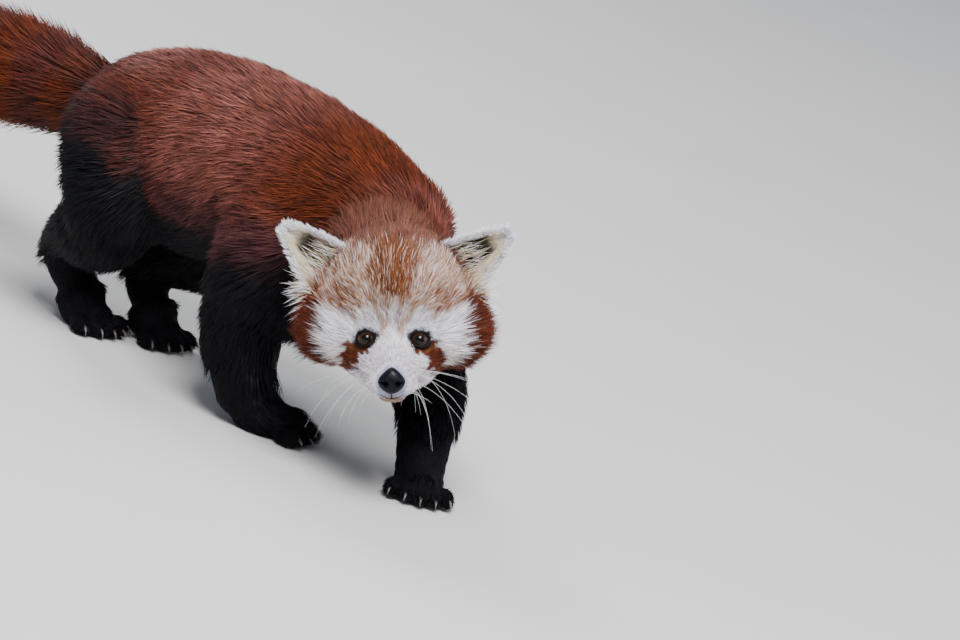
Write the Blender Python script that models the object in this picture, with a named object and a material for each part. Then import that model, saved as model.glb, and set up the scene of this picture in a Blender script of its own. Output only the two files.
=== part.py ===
"""Life-size red panda in a slow walk, its head low and turned to its right, its tail held out behind.

Metres, +Z up. The animal faces -Y and its left side is +X. The floor is z = 0, and the soles are flat there.
The body is modelled whole, as muscle masses blended into one surface, and is then parted with thin cuts.
"""

import math
import random

import bmesh
import bpy
from mathutils import Matrix, Vector
from mathutils.bvhtree import BVHTree

# Driving dimensions of the whole animal
GAP = 0.0003
TRUNK_WIDTH = 0.166
COAT_CORE_DEPTH = 0.008

# Trunk sections from rump to chest: place along the body, top and bottom of the coat, share of its width
TRUNK_SECTIONS = (
    (0.205, 0.207, 0.116, 0.42),
    (0.180, 0.233, 0.098, 0.78),
    (0.135, 0.254, 0.088, 0.97),
    (0.080, 0.267, 0.088, 1.00),
    (0.020, 0.271, 0.100, 1.00),
    (-0.040, 0.267, 0.110, 0.97),
    (-0.090, 0.256, 0.114, 0.93),
    (-0.130, 0.240, 0.122, 0.82),
    (-0.158, 0.216, 0.138, 0.50),
)

NECK_LINE = ((0.0, -0.085, 0.184), (-0.010, -0.125, 0.178), (-0.025, -0.160, 0.168), (-0.040, -0.187, 0.157))
NECK_RADII = (0.064, 0.061, 0.055, 0.050)

# The head's place and how it is held: turned right, lifted, and leaned over
HEAD_CENTRE = Vector((-0.047, -0.199, 0.148))
FACE_CENTRE = Vector((-0.082, -0.231, 0.124))
HEAD_TURN = math.radians(-50.0)
HEAD_LIFT = math.radians(-14.2)
HEAD_TILT = math.radians(-15.3)

# Eyes, in the head's own axes (x its left, -y where it faces, z its crown), with a ring of lids round each
EYE_RADIUS = 0.0078
EYE_SIDE = 0.0215
EYE_HEIGHT = -0.0215
EYE_SINK = 0.0044
LID_RADIUS = 0.0068
LID_THICKNESS = 0.0019
LID_RISE = 0.0048

NOSE_CENTRE = Vector((0.0, -0.0735, -0.0555))
NOSE_RADII = Vector((0.0108, 0.0085, 0.0105))
NOSTRIL_SIDE = 0.0052
NOSTRIL_RADII = Vector((0.0022, 0.0045, 0.0026))
NOSTRIL_SLIT_RADII = Vector((0.0036, 0.0045, 0.0011))

# Line of the mouth: half its width, its depth on the muzzle and its height, and the groove's radius
MOUTH_HALF_WIDTH = 0.025
MOUTH_FRONT = -0.0700
MOUTH_HEIGHT = -0.0665
MOUTH_GROOVE = 0.0010

# Ears: the root's middle, the length from there, and how far each rises above the level
EAR_ROOT = Vector((0.046, 0.010, 0.028))
EAR_LENGTH = 0.060
EAR_HALF_WIDTH = 0.0255
EAR_CUP = 0.013
EAR_THICKNESS = 0.0050
EAR_ROWS = (-0.25, 0.05, 0.35, 0.60, 0.80, 0.93, 1.00)
EAR_RISE = {"right": math.radians(43.0), "left": math.radians(36.0)}
EAR_SEAM = 0.019

# Tail: points along its middle, the radius to the tips of the coat, and the share of it that is core
TAIL_LINE = (
    (0.000, 0.170, 0.170),
    (0.000, 0.210, 0.172),
    (0.002, 0.260, 0.170),
    (0.006, 0.320, 0.164),
    (0.012, 0.380, 0.154),
    (0.020, 0.440, 0.142),
    (0.027, 0.500, 0.129),
    (0.030, 0.545, 0.120),
    (0.032, 0.580, 0.114),
)
TAIL_RADII = (0.040, 0.043, 0.046, 0.050, 0.052, 0.052, 0.050, 0.042, 0.022)
TAIL_CORE_SHARES = (0.84, 0.76, 0.64, 0.58, 0.58, 0.58, 0.58, 0.58, 0.58)

# Legs: joints from the shoulder or hip down, and the coat's radius at each
FORELEGS = {
    "right": (
        ((-0.042, -0.062, 0.165), 0.046),
        ((-0.057, -0.060, 0.131), 0.045),
        ((-0.058, -0.046, 0.094), 0.038),
        ((-0.057, -0.054, 0.060), 0.031),
        ((-0.052, -0.069, 0.030), 0.026),
    ),
    "left": (
        ((0.044, -0.085, 0.165), 0.046),
        ((0.060, -0.108, 0.131), 0.045),
        ((0.066, -0.128, 0.096), 0.038),
        ((0.054, -0.172, 0.064), 0.031),
        ((0.023, -0.209, 0.031), 0.025),
    ),
}
HINDLEGS = {
    "right": (
        ((-0.050, 0.130, 0.171), 0.056),
        ((-0.058, 0.115, 0.131), 0.051),
        ((-0.052, 0.127, 0.096), 0.042),
        ((-0.044, 0.166, 0.074), 0.031),
        ((-0.037, 0.180, 0.053), 0.026),
        ((-0.033, 0.157, 0.030), 0.024),
    ),
    "left": (
        ((0.050, 0.120, 0.166), 0.056),
        ((0.056, 0.090, 0.126), 0.051),
        ((0.048, 0.090, 0.091), 0.041),
        ((0.035, 0.125, 0.068), 0.030),
        ((0.024, 0.140, 0.048), 0.025),
        ((0.021, 0.122, 0.028), 0.023),
    ),
}
# Paws: middle of the palm, middle of the toes' roots, and the toes' turn in degrees to the animal's right
PAWS = {
    "fore_right": ((-0.039, -0.089, 0.0135), (-0.023, -0.111, 0.0125), -36.0),
    "fore_left": ((0.009, -0.225, 0.0135), (-0.006, -0.242, 0.0125), 41.0),
    "hind_right": ((-0.031, 0.145, 0.0135), (-0.029, 0.126, 0.0120), 0.0),
    "hind_left": ((0.020, 0.110, 0.0135), (0.019, 0.092, 0.0120), 2.0),
}
PALM_RADII = Vector((0.022, 0.021, 0.0165))
TOE_RADII = Vector((0.0078, 0.0135, 0.0088))
TOE_SPREAD = 0.0098
TOE_FAN = math.radians(9.0)
CLAW_PATH = ((0.0, -0.0120, 0.0020), (0.0, -0.0190, 0.0035), (0.0, -0.0250, 0.0005), (0.0, -0.0285, -0.0055))
CLAW_RADII = (0.0024, 0.0021, 0.0015, 0.0005)

# Seams: the depth of the neck's seam behind the head's middle, the plane from neck to trunk, the tail's root
HEAD_SEAM_DEPTH = 0.035
NECK_SEAM = ((0.0, -0.108, 0.190), (-0.36, -0.92, -0.12))
TAIL_SEAM = 0.243
LEG_MARGIN = 0.010
PAW_MARGIN = 0.003
PAW_REACH = 0.008
LEG_OUTWARD = 0.012
BODY_TRIANGLES = 3600
COAT_TRIANGLES = 8600
FACE_REACH = 0.075
PAW_TOP = 0.040
HEAD_COARSENESS = 0.3
PAW_COARSENESS = 0.6
FINENESS = 0.05

# Where each node's own middle lies once the pieces of a leg are apart, by the joints between which it is cut
FORELEG_CUTS = (2.1, 4.0)
HINDLEG_CUTS = (2.6, 4.5)

# Locks of the coat: length, width, height of the tips above the core, and how far apart they are rooted
LOCKS = {
    "tail": (0.070, 0.045, 0.0215, 0.0300),
    "back": (0.088, 0.042, 0.0095, 0.0385),
    "belly": (0.055, 0.032, 0.0120, 0.0420),
    "leg": (0.048, 0.027, 0.0065, 0.0340),
    "ruff": (0.042, 0.020, 0.0095, 0.0185),
}
TAIL_COAT_START = 0.228
LOCK_SINK = 0.0060
LOCK_THICKNESS = 0.20
LOCK_STEPS = 4
LOCK_WIDTHS = (0.70, 1.00, 0.92, 0.60)
LOCK_HEIGHTS = (-1.0, 0.28, 0.72, 0.96, 1.0)
CROSSING_HEIGHTS = (-1.0, 0.30, 0.55, 0.30, -0.8)
CROSSING_SCALE = 0.8
LOCK_SHORTEST = 0.5
ROOT_TRIES = 30000

# White tufts on the outer edge of each ear: place along the ear, and the way each points in the ear's own axes
EAR_TUFTS = (
    (0.40, (0.97, -0.20, -0.08)),
    (0.52, (0.92, -0.20, 0.28)),
    (0.64, (0.85, -0.20, 0.52)),
)
TUFT_LENGTH = 0.036
TUFT_WIDTH = 0.013
TUFT_WIDTHS = (1.00, 0.90, 0.66, 0.36)

NODE_COLOURS = (
    ("head", "face"),
    ("ear", "cream"),
    ("eye", "eye"),
    ("nose", "nose"),
    ("fore", "black"),
    ("hind", "black"),
)
COLOURS = {
    "rust": ((0.290, 0.085, 0.035, 1.0), 0.75),
    "black": ((0.018, 0.015, 0.016, 1.0), 0.70),
    "cream": ((0.800, 0.740, 0.640, 1.0), 0.75),
    "face": ((0.620, 0.420, 0.300, 1.0), 0.75),
    "nose": ((0.020, 0.020, 0.024, 1.0), 0.35),
    "eye": ((0.030, 0.015, 0.010, 1.0), 0.06),
}


def clear_scene():
    for item in list(bpy.data.objects):
        bpy.data.objects.remove(item)


def material(node, name):
    """A node's own Principled material, in one of the named colours."""
    colour, roughness = COLOURS[name]
    made = bpy.data.materials.new(f"{node} {name}")
    made.use_nodes = True
    shader = made.node_tree.nodes["Principled BSDF"]
    shader.inputs["Base Color"].default_value = colour
    shader.inputs["Roughness"].default_value = roughness
    shader.inputs["Metallic"].default_value = 0.0
    made.diffuse_color = colour
    return made


def object_from(name, form):
    """An object of that name from a bmesh, which is then freed."""
    bmesh.ops.recalc_face_normals(form, faces=form.faces)
    mesh = bpy.data.meshes.new(name)
    form.to_mesh(mesh)
    form.free()
    made = bpy.data.objects.new(name, mesh)
    bpy.context.scene.collection.objects.link(made)
    return made


def add_ellipsoid(form, centre, radii, turn=None, segments=24, rings=14):
    """One ellipsoid in a bmesh, with an optional rotation matrix."""
    place = Matrix.Translation(centre)
    if turn is not None:
        place = place @ turn.to_4x4()
    place = place @ Matrix.Diagonal((*radii, 1.0))
    bmesh.ops.create_uvsphere(form, u_segments=segments, v_segments=rings, radius=1.0, matrix=place)


def smooth_point(points, t):
    """A point on a smooth curve through the points, t from 0 to the number of spans (Catmull-Rom)."""
    last = len(points) - 1
    span = min(int(t), last - 1)
    s = t - span
    before, start = points[max(span - 1, 0)], points[span]
    end, after = points[span + 1], points[min(span + 2, last)]
    return 0.5 * (
        2 * start
        + (end - before) * s
        + (2 * before - 5 * start + 4 * end - after) * s**2
        + (3 * start - before - 3 * end + after) * s**3
    )


def smooth_value(values, t):
    return smooth_point([Vector((value, 0.0, 0.0)) for value in values], t).x


def add_loft(form, centres, sizes, sides=20, steps=4, up=Vector((0.0, 0.0, 1.0))):
    """A closed tube through the centres. A size is (half width, half height) or one radius."""
    centres = [Vector(centre) for centre in centres]
    sizes = [size if isinstance(size, tuple) else (size, size) for size in sizes]
    spans = len(centres) - 1
    rings = []
    for number in range(spans * steps + 1):
        t = number / steps
        middle = smooth_point(centres, t)
        ahead = smooth_point(centres, min(t + 0.05, spans)) - smooth_point(centres, max(t - 0.05, 0.0))
        ahead.normalize()
        across = ahead.cross(up).normalized()
        lift = across.cross(ahead).normalized()
        wide = smooth_value([size[0] for size in sizes], t)
        high = smooth_value([size[1] for size in sizes], t)
        ring = []
        for side in range(sides):
            angle = 2 * math.pi * side / sides
            point = middle + across * (wide * math.cos(angle)) + lift * (high * math.sin(angle))
            ring.append(form.verts.new(point))
        rings.append(ring)
    for first, second in zip(rings, rings[1:]):
        for side in range(sides):
            after = (side + 1) % sides
            form.faces.new((first[side], first[after], second[after], second[side]))
    for ring in (rings[0], rings[-1]):
        form.faces.new(ring)


def apply_modifier(item, kind, **settings):
    """Adds one modifier to the object and applies it."""
    modifier = item.modifiers.new(kind.title(), kind)
    for key, value in settings.items():
        setattr(modifier, key, value)
    with bpy.context.temp_override(object=item, active_object=item):
        bpy.ops.object.modifier_apply(modifier=modifier.name)


def head_frame():
    """From the head's own axes (x its left, -y where it faces, z its crown) to the world."""
    turn = Matrix.Rotation(HEAD_TURN, 4, "Z")
    lift = Matrix.Rotation(HEAD_LIFT, 4, "X")
    tilt = Matrix.Rotation(HEAD_TILT, 4, "Y")
    return Matrix.Translation(HEAD_CENTRE) @ turn @ lift @ tilt


def add_trunk(form):
    """The trunk, neck, tail core and upper legs."""
    centres, sizes = [], []
    for along, top, bottom, share in TRUNK_SECTIONS:
        centres.append((0.0, along, (top + bottom) / 2))
        half_height = (top - bottom) / 2 - COAT_CORE_DEPTH
        sizes.append((TRUNK_WIDTH / 2 * share - COAT_CORE_DEPTH, half_height))
    add_loft(form, centres, sizes, sides=28)
    add_loft(form, NECK_LINE, NECK_RADII)
    tail_radii = [radius * share for radius, share in zip(TAIL_RADII, TAIL_CORE_SHARES)]
    add_loft(form, TAIL_LINE, tail_radii)
    for legs in (FORELEGS, HINDLEGS):
        for joints in legs.values():
            upper = joints[:4]
            add_loft(form, [joint[0] for joint in upper], [joint[1] for joint in upper])
            for centre, radius in (upper[0], upper[-1]):
                add_ellipsoid(form, Vector(centre), (radius,) * 3)


def add_head_masses(form, frame):
    """Skull, cheeks, brow and muzzle, in the head's own axes."""
    turn = frame.to_3x3()

    def mass(centre, radii):
        add_ellipsoid(form, frame @ Vector(centre), radii, turn)

    mass((0.0, 0.010, 0.015), (0.056, 0.056, 0.053))
    mass((0.0, -0.018, 0.008), (0.048, 0.034, 0.040))
    mass((0.0, -0.008, -0.024), (0.062, 0.040, 0.036))
    for side in (-1, 1):
        mass((side * 0.038, 0.000, -0.018), (0.034, 0.035, 0.035))
        mass((side * 0.045, 0.014, -0.010), (0.025, 0.026, 0.038))
    muzzle = [frame @ Vector(p) for p in ((0.0, -0.010, -0.030), (0.0, -0.036, -0.040), (0.0, -0.064, -0.0530))]
    up = turn @ Vector((0.0, 0.0, 1.0))
    add_loft(form, muzzle, ((0.044, 0.033), (0.033, 0.0265), (0.0215, 0.0180)), up=up)
    mass((0.0, -0.0600, -0.0540), (0.0215, 0.0160, 0.0165))


def add_face_details(form, frame):
    """Lips and chin."""
    turn = frame.to_3x3()

    def mass(centre, radii):
        add_ellipsoid(form, frame @ Vector(centre), radii, turn)

    mass((0.0, -0.052, -0.0675), (0.0165, 0.019, 0.0075))
    for side in (-1, 1):
        mass((side * 0.0100, -0.0610, -0.0590), (0.0125, 0.0150, 0.0100))


def add_lower_leg(form, joints):
    """Forearm or shank down to the wrist or heel."""
    lower = joints[2:]
    add_loft(form, [joint[0] for joint in lower], [joint[1] for joint in lower])
    centre, radius = joints[-1]
    add_ellipsoid(form, Vector(centre), (radius,) * 3)


def paw_frame(name):
    """From a paw's own axes, with the toes towards -y, to the world."""
    _, toes, inward = PAWS[name]
    return Matrix.Translation(toes) @ Matrix.Rotation(-math.radians(inward), 4, "Z")


def toe_places(name):
    """Place and turn of each of a paw's five toes."""
    frame = paw_frame(name)
    for number in (-2, -1, 0, 1, 2):
        back = 0.0022 * number**2
        local = Matrix.Translation((number * TOE_SPREAD, back, -0.0040))
        yield frame @ local @ Matrix.Rotation(number * TOE_FAN, 4, "Z")


def add_paw(form, name, ankle):
    """Palm, instep and five toes."""
    palm, toes, _ = PAWS[name]
    turn = paw_frame(name).to_3x3()
    add_ellipsoid(form, Vector(palm), PALM_RADII, turn)
    add_loft(form, [ankle, palm, toes], (0.024, 0.0205, 0.0150))
    for place in toe_places(name):
        add_ellipsoid(form, place @ Vector((0.0, -0.006, 0.0)), TOE_RADII, place.to_3x3(), 16, 10)


def leg_of(name):
    pair, side = name.split("_")
    return (FORELEGS if pair == "fore" else HINDLEGS)[side]


def blended(body, voxel, rounds, add):
    """The body with more masses added to it and fused."""
    form = bmesh.new()
    if body is not None:
        form.from_mesh(body.data)
        bpy.data.objects.remove(body)
    add(form)
    body = object_from("body", form)
    apply_modifier(body, "REMESH", mode="VOXEL", voxel_size=voxel)
    apply_modifier(body, "SMOOTH", factor=0.5, iterations=rounds)
    return body


def add_head_and_shanks(form):
    add_head_masses(form, head_frame())
    for name in PAWS:
        add_lower_leg(form, leg_of(name))


def add_details(form):
    add_face_details(form, head_frame())
    for name in PAWS:
        add_paw(form, name, leg_of(name)[-1][0])


def whole_body():
    """The whole skin as one closed surface: broad masses first, then the head, and then face and paws."""
    body = blended(None, 0.006, 12, add_trunk)
    body = blended(body, 0.004, 8, add_head_and_shanks)
    return blended(body, 0.0025, 4, add_details)


def simplified(body, triangles):
    """The body with that many triangles, which are finer on the face and the paws."""
    apply_modifier(body, "TRIANGULATE")
    coarse = body.vertex_groups.new(name="coarse")
    for vert in body.data.vertices:
        fine = (vert.co - FACE_CENTRE).length < FACE_REACH
        weight = HEAD_COARSENESS if fine else (PAW_COARSENESS if vert.co.z < PAW_TOP else 1.0)
        coarse.add([vert.index], weight, "REPLACE")
    share = min(triangles / len(body.data.polygons), 1.0)
    settings = {"ratio": share, "vertex_group": coarse.name, "vertex_group_factor": FINENESS}
    apply_modifier(body, "DECIMATE", use_collapse_triangulate=True, **settings)
    body.vertex_groups.clear()
    return body


def levelled(body):
    """The body cut flat where it meets the floor."""
    floor = box_object("floor", Vector((-0.5, -0.6, -0.2)), Vector((0.5, 0.9, 0.0)))
    return boolean(body, "DIFFERENCE", [floor])


def box_object(name, low, high, frame=None):
    """A box between two corners, in the world's axes or a frame's own."""
    form = bmesh.new()
    frame = frame or Matrix.Identity(4)
    middle = (low + high) / 2
    place = frame @ Matrix.Translation(middle) @ Matrix.Diagonal((*(high - low), 1.0))
    bmesh.ops.create_cube(form, size=1.0, matrix=place)
    return object_from(name, form)


def boolean(item, operation, others):
    """One Boolean of the item with a collection of closed meshes, applied. Those objects are then removed."""
    group = bpy.data.collections.new("operands")
    bpy.context.scene.collection.children.link(group)
    for other in others:
        group.objects.link(other)
    bpy.context.view_layer.update()
    settings = {"operand_type": "COLLECTION", "collection": group, "solver": "MANIFOLD"}
    apply_modifier(item, "BOOLEAN", operation=operation, **settings)
    for other in others:
        bpy.data.objects.remove(other)
    bpy.data.collections.remove(group)
    return item


def copy_of(item, name):
    made = item.copy()
    made.data = item.data.copy()
    made.name = name
    bpy.context.scene.collection.objects.link(made)
    return made


def keep_largest(item):
    """Drops every closed surface of a mesh but the largest. Surfaces that only touch count as apart."""
    form = bmesh.new()
    form.from_mesh(item.data)
    seen = set()
    bodies = []
    for start in form.faces:
        if start in seen:
            continue
        seen.add(start)
        body, waiting = [], [start]
        while waiting:
            face = waiting.pop()
            body.append(face)
            for edge in face.edges:
                if len(edge.link_faces) != 2:
                    continue
                for other in edge.link_faces:
                    if other not in seen:
                        seen.add(other)
                        waiting.append(other)
        bodies.append(body)
    bodies.sort(key=box_volume)
    drop = [face for body in bodies[:-1] for face in body]
    bmesh.ops.delete(form, geom=drop, context="FACES")
    form.to_mesh(item.data)
    form.free()
    return item


def box_volume(faces):
    """Volume of the box round some faces."""
    points = [vert.co for face in faces for vert in face.verts]
    sides = [max(point[axis] for point in points) - min(point[axis] for point in points) for axis in range(3)]
    return sides[0] * sides[1] * sides[2]


def parted(whole, name, region):
    """Takes what lies in a region off the whole, as its own object. region(inset) makes the region's shape."""
    piece = copy_of(whole, name)
    boolean(piece, "INTERSECT", [region(GAP)])
    boolean(whole, "DIFFERENCE", [region(0.0)])
    keep_largest(piece)
    keep_largest(whole)
    return piece


def half_space(point, normal):
    """A large box on the side of a plane that its normal points to, less half a gap."""
    turn = normal.to_track_quat("Z", "Y").to_matrix().to_4x4()
    low, high = Vector((-1.0, -1.0, -GAP / 2)), Vector((1.0, 1.0, 1.0))
    return box_object("half", low, high, Matrix.Translation(point) @ turn)


def lengths_of(item, cuts, names):
    """The item cut at each plane in turn. What lies behind a plane's normal becomes the next piece."""
    pieces = {}
    for (point, normal), name in zip(cuts, names):
        point, normal = Vector(point), Vector(normal).normalized()
        piece = copy_of(item, name)
        boolean(piece, "DIFFERENCE", [half_space(point, normal)])
        boolean(item, "DIFFERENCE", [half_space(point, -normal)])
        pieces[name] = keep_largest(piece)
        keep_largest(item)
    pieces[names[-1]] = item
    return pieces


def hull_object(name, points):
    form = bmesh.new()
    for point in points:
        form.verts.new(point)
    found = bmesh.ops.convex_hull(form, input=form.verts)
    spare = found["geom_interior"] + found["geom_unused"]
    loose = {item for item in spare if isinstance(item, bmesh.types.BMVert)}
    bmesh.ops.delete(form, geom=list(loose), context="VERTS")
    return object_from(name, form)


def sphere_points(centre, radius):
    """Points spread on a sphere."""
    points = []
    for ring in range(1, 5):
        tilt = math.pi * ring / 5
        for step in range(7):
            angle = 2 * math.pi * (step + ring / 2) / 7
            side = radius * math.sin(tilt)
            offset = Vector((side * math.cos(angle), side * math.sin(angle), radius * math.cos(tilt)))
            points.append(Vector(centre) + offset)
    return points


def leg_region(name):
    """The envelope of a leg from its upper arm or thigh to its claws, as a function of the inset."""
    outward = LEG_OUTWARD * (-1 if name.endswith("right") else 1)

    def region(inset):
        points = []
        joints = leg_of(name)
        for number, (centre, radius) in enumerate(joints[1:]):
            shift = outward / (1 + number)
            points += sphere_points(Vector(centre) + Vector((shift, 0.0, 0.0)), radius + LEG_MARGIN - inset)
        points += sphere_points(PAWS[name][0], PALM_RADII.x + PAW_MARGIN - inset)
        for place in toe_places(name):
            points += sphere_points(place @ Vector(CLAW_PATH[-1]), PAW_REACH - inset)
        return hull_object("region", points)

    return region


def head_region(inset):
    low = Vector((-0.13, -0.15, -0.105)) + Vector((inset,) * 3)
    high = Vector((0.13, HEAD_SEAM_DEPTH, 0.115)) - Vector((inset,) * 3)
    return box_object("region", low, high, head_frame())


def tail_region(inset):
    low = Vector((-0.2, TAIL_SEAM + inset, 0.01))
    return box_object("region", low, Vector((0.3, 0.9, 0.4)))


def ear_frame(side):
    """From an ear's own axes (x across it, y out of its back, z to its tip) to the head's."""
    sign = 1 if side == "left" else -1
    root = Vector((sign * EAR_ROOT.x, EAR_ROOT.y, EAR_ROOT.z))
    turn = Matrix.Rotation(sign * (math.pi / 2 - EAR_RISE[side]), 4, "Y")
    return Matrix.Translation(root) @ turn


def ear_form(form, frame, columns=9):
    """A cupped ear: a front and a back sheet joined round the rim."""
    rows = len(EAR_ROWS)
    sheets = []
    for face in (-0.5, 0.5):
        sheet = []
        for along in EAR_ROWS:
            wide = EAR_HALF_WIDTH * ear_width(along)
            line = []
            for column in range(columns):
                across = 2 * column / (columns - 1) - 1
                thin = EAR_THICKNESS * (1 - 0.45 * across**2) * (1 - 0.35 * max(along, 0.0))
                depth = ear_depth(across, along) + face * thin
                point = Vector((wide * across, depth, EAR_LENGTH * along))
                line.append(form.verts.new(frame @ point))
            sheet.append(line)
        sheets.append(sheet)
    for sheet in sheets:
        for row in range(rows - 1):
            for column in range(columns - 1):
                corners = (
                    sheet[row][column],
                    sheet[row][column + 1],
                    sheet[row + 1][column + 1],
                    sheet[row + 1][column],
                )
                form.faces.new(corners)
    front, back = sheets
    rim = [(0, column) for column in range(columns)]
    rim += [(row, columns - 1) for row in range(1, rows)]
    rim += [(rows - 1, column) for column in range(columns - 2, -1, -1)]
    rim += [(row, 0) for row in range(rows - 2, 0, -1)]
    for start, end in zip(rim, rim[1:] + rim[:1]):
        places = ((front, start), (front, end), (back, end), (back, start))
        corners = [sheet[row][column] for sheet, (row, column) in places]
        form.faces.new(corners)


def ear_width(along):
    """Share of the ear's half width at a share of its length: broad at the root, tapering to a blunt point."""
    return max(1.0 - max(along, 0.0) ** 1.8, 0.0) ** 0.62 * 0.92 + 0.08


def ear_depth(across, along):
    """How far the middle of the ear's sheet lies behind its rim: a cup whose tip leans forward."""
    along = max(along, 0.0)
    return EAR_CUP * (1 - across**2) * (1 - 0.75 * along**2) - 0.006 * along**2


def ear_region(side):
    def region(inset):
        frame = head_frame() @ ear_frame(side)
        low = Vector((-0.024, -0.03, EAR_SEAM)) + Vector((inset,) * 3)
        high = Vector((0.024, 0.0155, 0.12)) - Vector((inset,) * 3)
        return box_object("region", low, high, frame)

    return region


def surface_of(item):
    """A search tree of the item's surface."""
    form = bmesh.new()
    form.from_mesh(item.data)
    tree = BVHTree.FromBMesh(form)
    form.free()
    return tree


def eye_places(surface):
    """Centre of each eye and the way it looks, from where the face's surface is."""
    frame = head_frame()
    forward = frame.to_3x3() @ Vector((0.0, 1.0, 0.0))
    places = {}
    for side, sign in (("left", 1), ("right", -1)):
        start = frame @ Vector((sign * EYE_SIDE, -0.2, EYE_HEIGHT))
        point, normal, _, _ = surface.ray_cast(start, forward)
        gaze = (normal.normalized() * 0.5 - forward).normalized()
        places[side] = (point - gaze * EYE_SINK, gaze)
    return places


def lid_object(centre, gaze):
    """The ring of the lids round one eye."""
    form = bmesh.new()
    up = head_frame().to_3x3() @ Vector((0.0, 0.0, 1.0))
    across = up.cross(gaze).normalized()
    lift = gaze.cross(across).normalized()
    rings = []
    for step in range(16):
        angle = 2 * math.pi * step / 16
        out = across * (1.12 * math.cos(angle)) + lift * (0.94 * math.sin(angle))
        middle = centre + gaze * (LID_RISE - 0.0006 * math.cos(2 * angle)) + out * LID_RADIUS
        side = out.normalized()
        ring = []
        for turn in range(5):
            around = 2 * math.pi * turn / 5
            point = middle + (side * math.cos(around) + gaze * math.sin(around)) * LID_THICKNESS
            ring.append(form.verts.new(point))
        rings.append(ring)
    for first, second in zip(rings, rings[1:] + rings[:1]):
        for turn in range(5):
            after = (turn + 1) % 5
            form.faces.new((first[turn], first[after], second[after], second[turn]))
    return object_from("lid", form)


def ball_object(name, centre, radii, turn=None, segments=14, rings=8):
    form = bmesh.new()
    add_ellipsoid(form, centre, radii, turn, segments, rings)
    return object_from(name, form)


def nose_object(name, grow):
    """The nose pad: broad at its middle, narrow below, flattened in front."""
    form = bmesh.new()
    bmesh.ops.create_uvsphere(form, u_segments=16, v_segments=10, radius=1.0)
    frame = head_frame() @ Matrix.Translation(NOSE_CENTRE)
    for vert in form.verts:
        x, y, z = vert.co
        narrow = 1.0 - 0.42 * max(-z, 0.0) ** 1.5 - 0.10 * max(z, 0.0)
        flat = 1.0 - 0.18 * max(-y, 0.0)
        offset = Vector((x * narrow, y * flat, z))
        vert.co = frame @ Vector([offset[axis] * (NOSE_RADII[axis] + grow) for axis in range(3)])
    return object_from(name, form)


def nose_node():
    nose = nose_object("nose", 0.0)
    frame = head_frame()
    turn = frame.to_3x3()
    holes = []
    for side in (-1, 1):
        front = NOSE_CENTRE + Vector((side * NOSTRIL_SIDE, -NOSE_RADII.y * 0.85, -0.0012))
        holes.append(ball_object("nostril", frame @ front, NOSTRIL_RADII, turn, 8, 6))
        slit = front + Vector((side * 0.0030, 0.0012, 0.0004))
        holes.append(ball_object("nostril_slit", frame @ slit, NOSTRIL_SLIT_RADII, turn, 8, 6))
    return boolean(nose, "DIFFERENCE", holes)


def mouth_groove(surface):
    """The groove of the mouth's line along the muzzle and up to the nose."""
    frame = head_frame()
    form = bmesh.new()
    line = []
    for step in range(-6, 7):
        share = step / 6
        guess = Vector((
            share * MOUTH_HALF_WIDTH,
            MOUTH_FRONT + 0.036 * abs(share) ** 1.6,
            MOUTH_HEIGHT + 0.0045 * abs(share),
        ))
        line.append(surface.find_nearest(frame @ guess)[0])
    radii = [MOUTH_GROOVE * (1.0 if abs(step) < 6 else 0.5) for step in range(-6, 7)]
    add_loft(form, line, radii, sides=6, steps=1)
    made = object_from("mouth", form)
    form = bmesh.new()
    top = NOSE_CENTRE + Vector((0.0, -0.0030, -0.0085))
    low = Vector((0.0, MOUTH_FRONT, MOUTH_HEIGHT))
    points = [surface.find_nearest(frame @ top.lerp(low, share))[0] for share in (0.0, 0.5, 1.0)]
    across = frame.to_3x3() @ Vector((1.0, 0.0, 0.0))
    add_loft(form, points, (MOUTH_GROOVE * 0.8,) * 3, sides=6, steps=1, up=across)
    return [made, object_from("philtrum", form)]


def lock_object(line, normals, width, thickness, widths=LOCK_WIDTHS):
    """A flat tapered lock along a line, as a closed three-sided blade with its flat side on the coat."""
    form = bmesh.new()
    rings = []
    last = len(line) - 1
    for number in range(last):
        ahead = (line[number + 1] - line[max(number - 1, 0)]).normalized()
        side = normals[number].cross(ahead).normalized()
        up = ahead.cross(side)
        wide = side * (width * widths[number] / 2)
        deep = up * (thickness * widths[number] / 2)
        ring = [form.verts.new(line[number] + offset) for offset in (wide - deep, deep, -wide - deep)]
        rings.append(ring)
    for first, second in zip(rings, rings[1:]):
        for turn in range(3):
            after = (turn + 1) % 3
            form.faces.new((first[turn], first[after], second[after], second[turn]))
    tip = form.verts.new(line[last])
    for turn in range(3):
        form.faces.new((rings[-1][turn], rings[-1][(turn + 1) % 3], tip))
    form.faces.new(rings[0])
    bmesh.ops.triangulate(form, faces=form.faces)
    return object_from("lock", form)


def in_head(point):
    """The point in the head's own axes."""
    return head_frame().inverted() @ point


def coat_kind(point, normal):
    """Which coat grows at a point of the core, or none where the fur is short."""
    local = in_head(point)
    if local.y < HEAD_SEAM_DEPTH and abs(local.x) < 0.1 and abs(local.z) < 0.1:
        edge = abs(local.x) > 0.046 and -0.062 < local.z < 0.030 and local.y > -0.012
        return "ruff" if edge else None
    if point.y > TAIL_COAT_START:
        return "tail"
    if point.z < 0.055:
        return None
    if point.z < 0.115 and abs(point.x) > 0.012:
        return "leg" if normal.y > -0.25 or point.z > 0.085 else None
    return "belly" if normal.z < -0.3 else "back"


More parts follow.
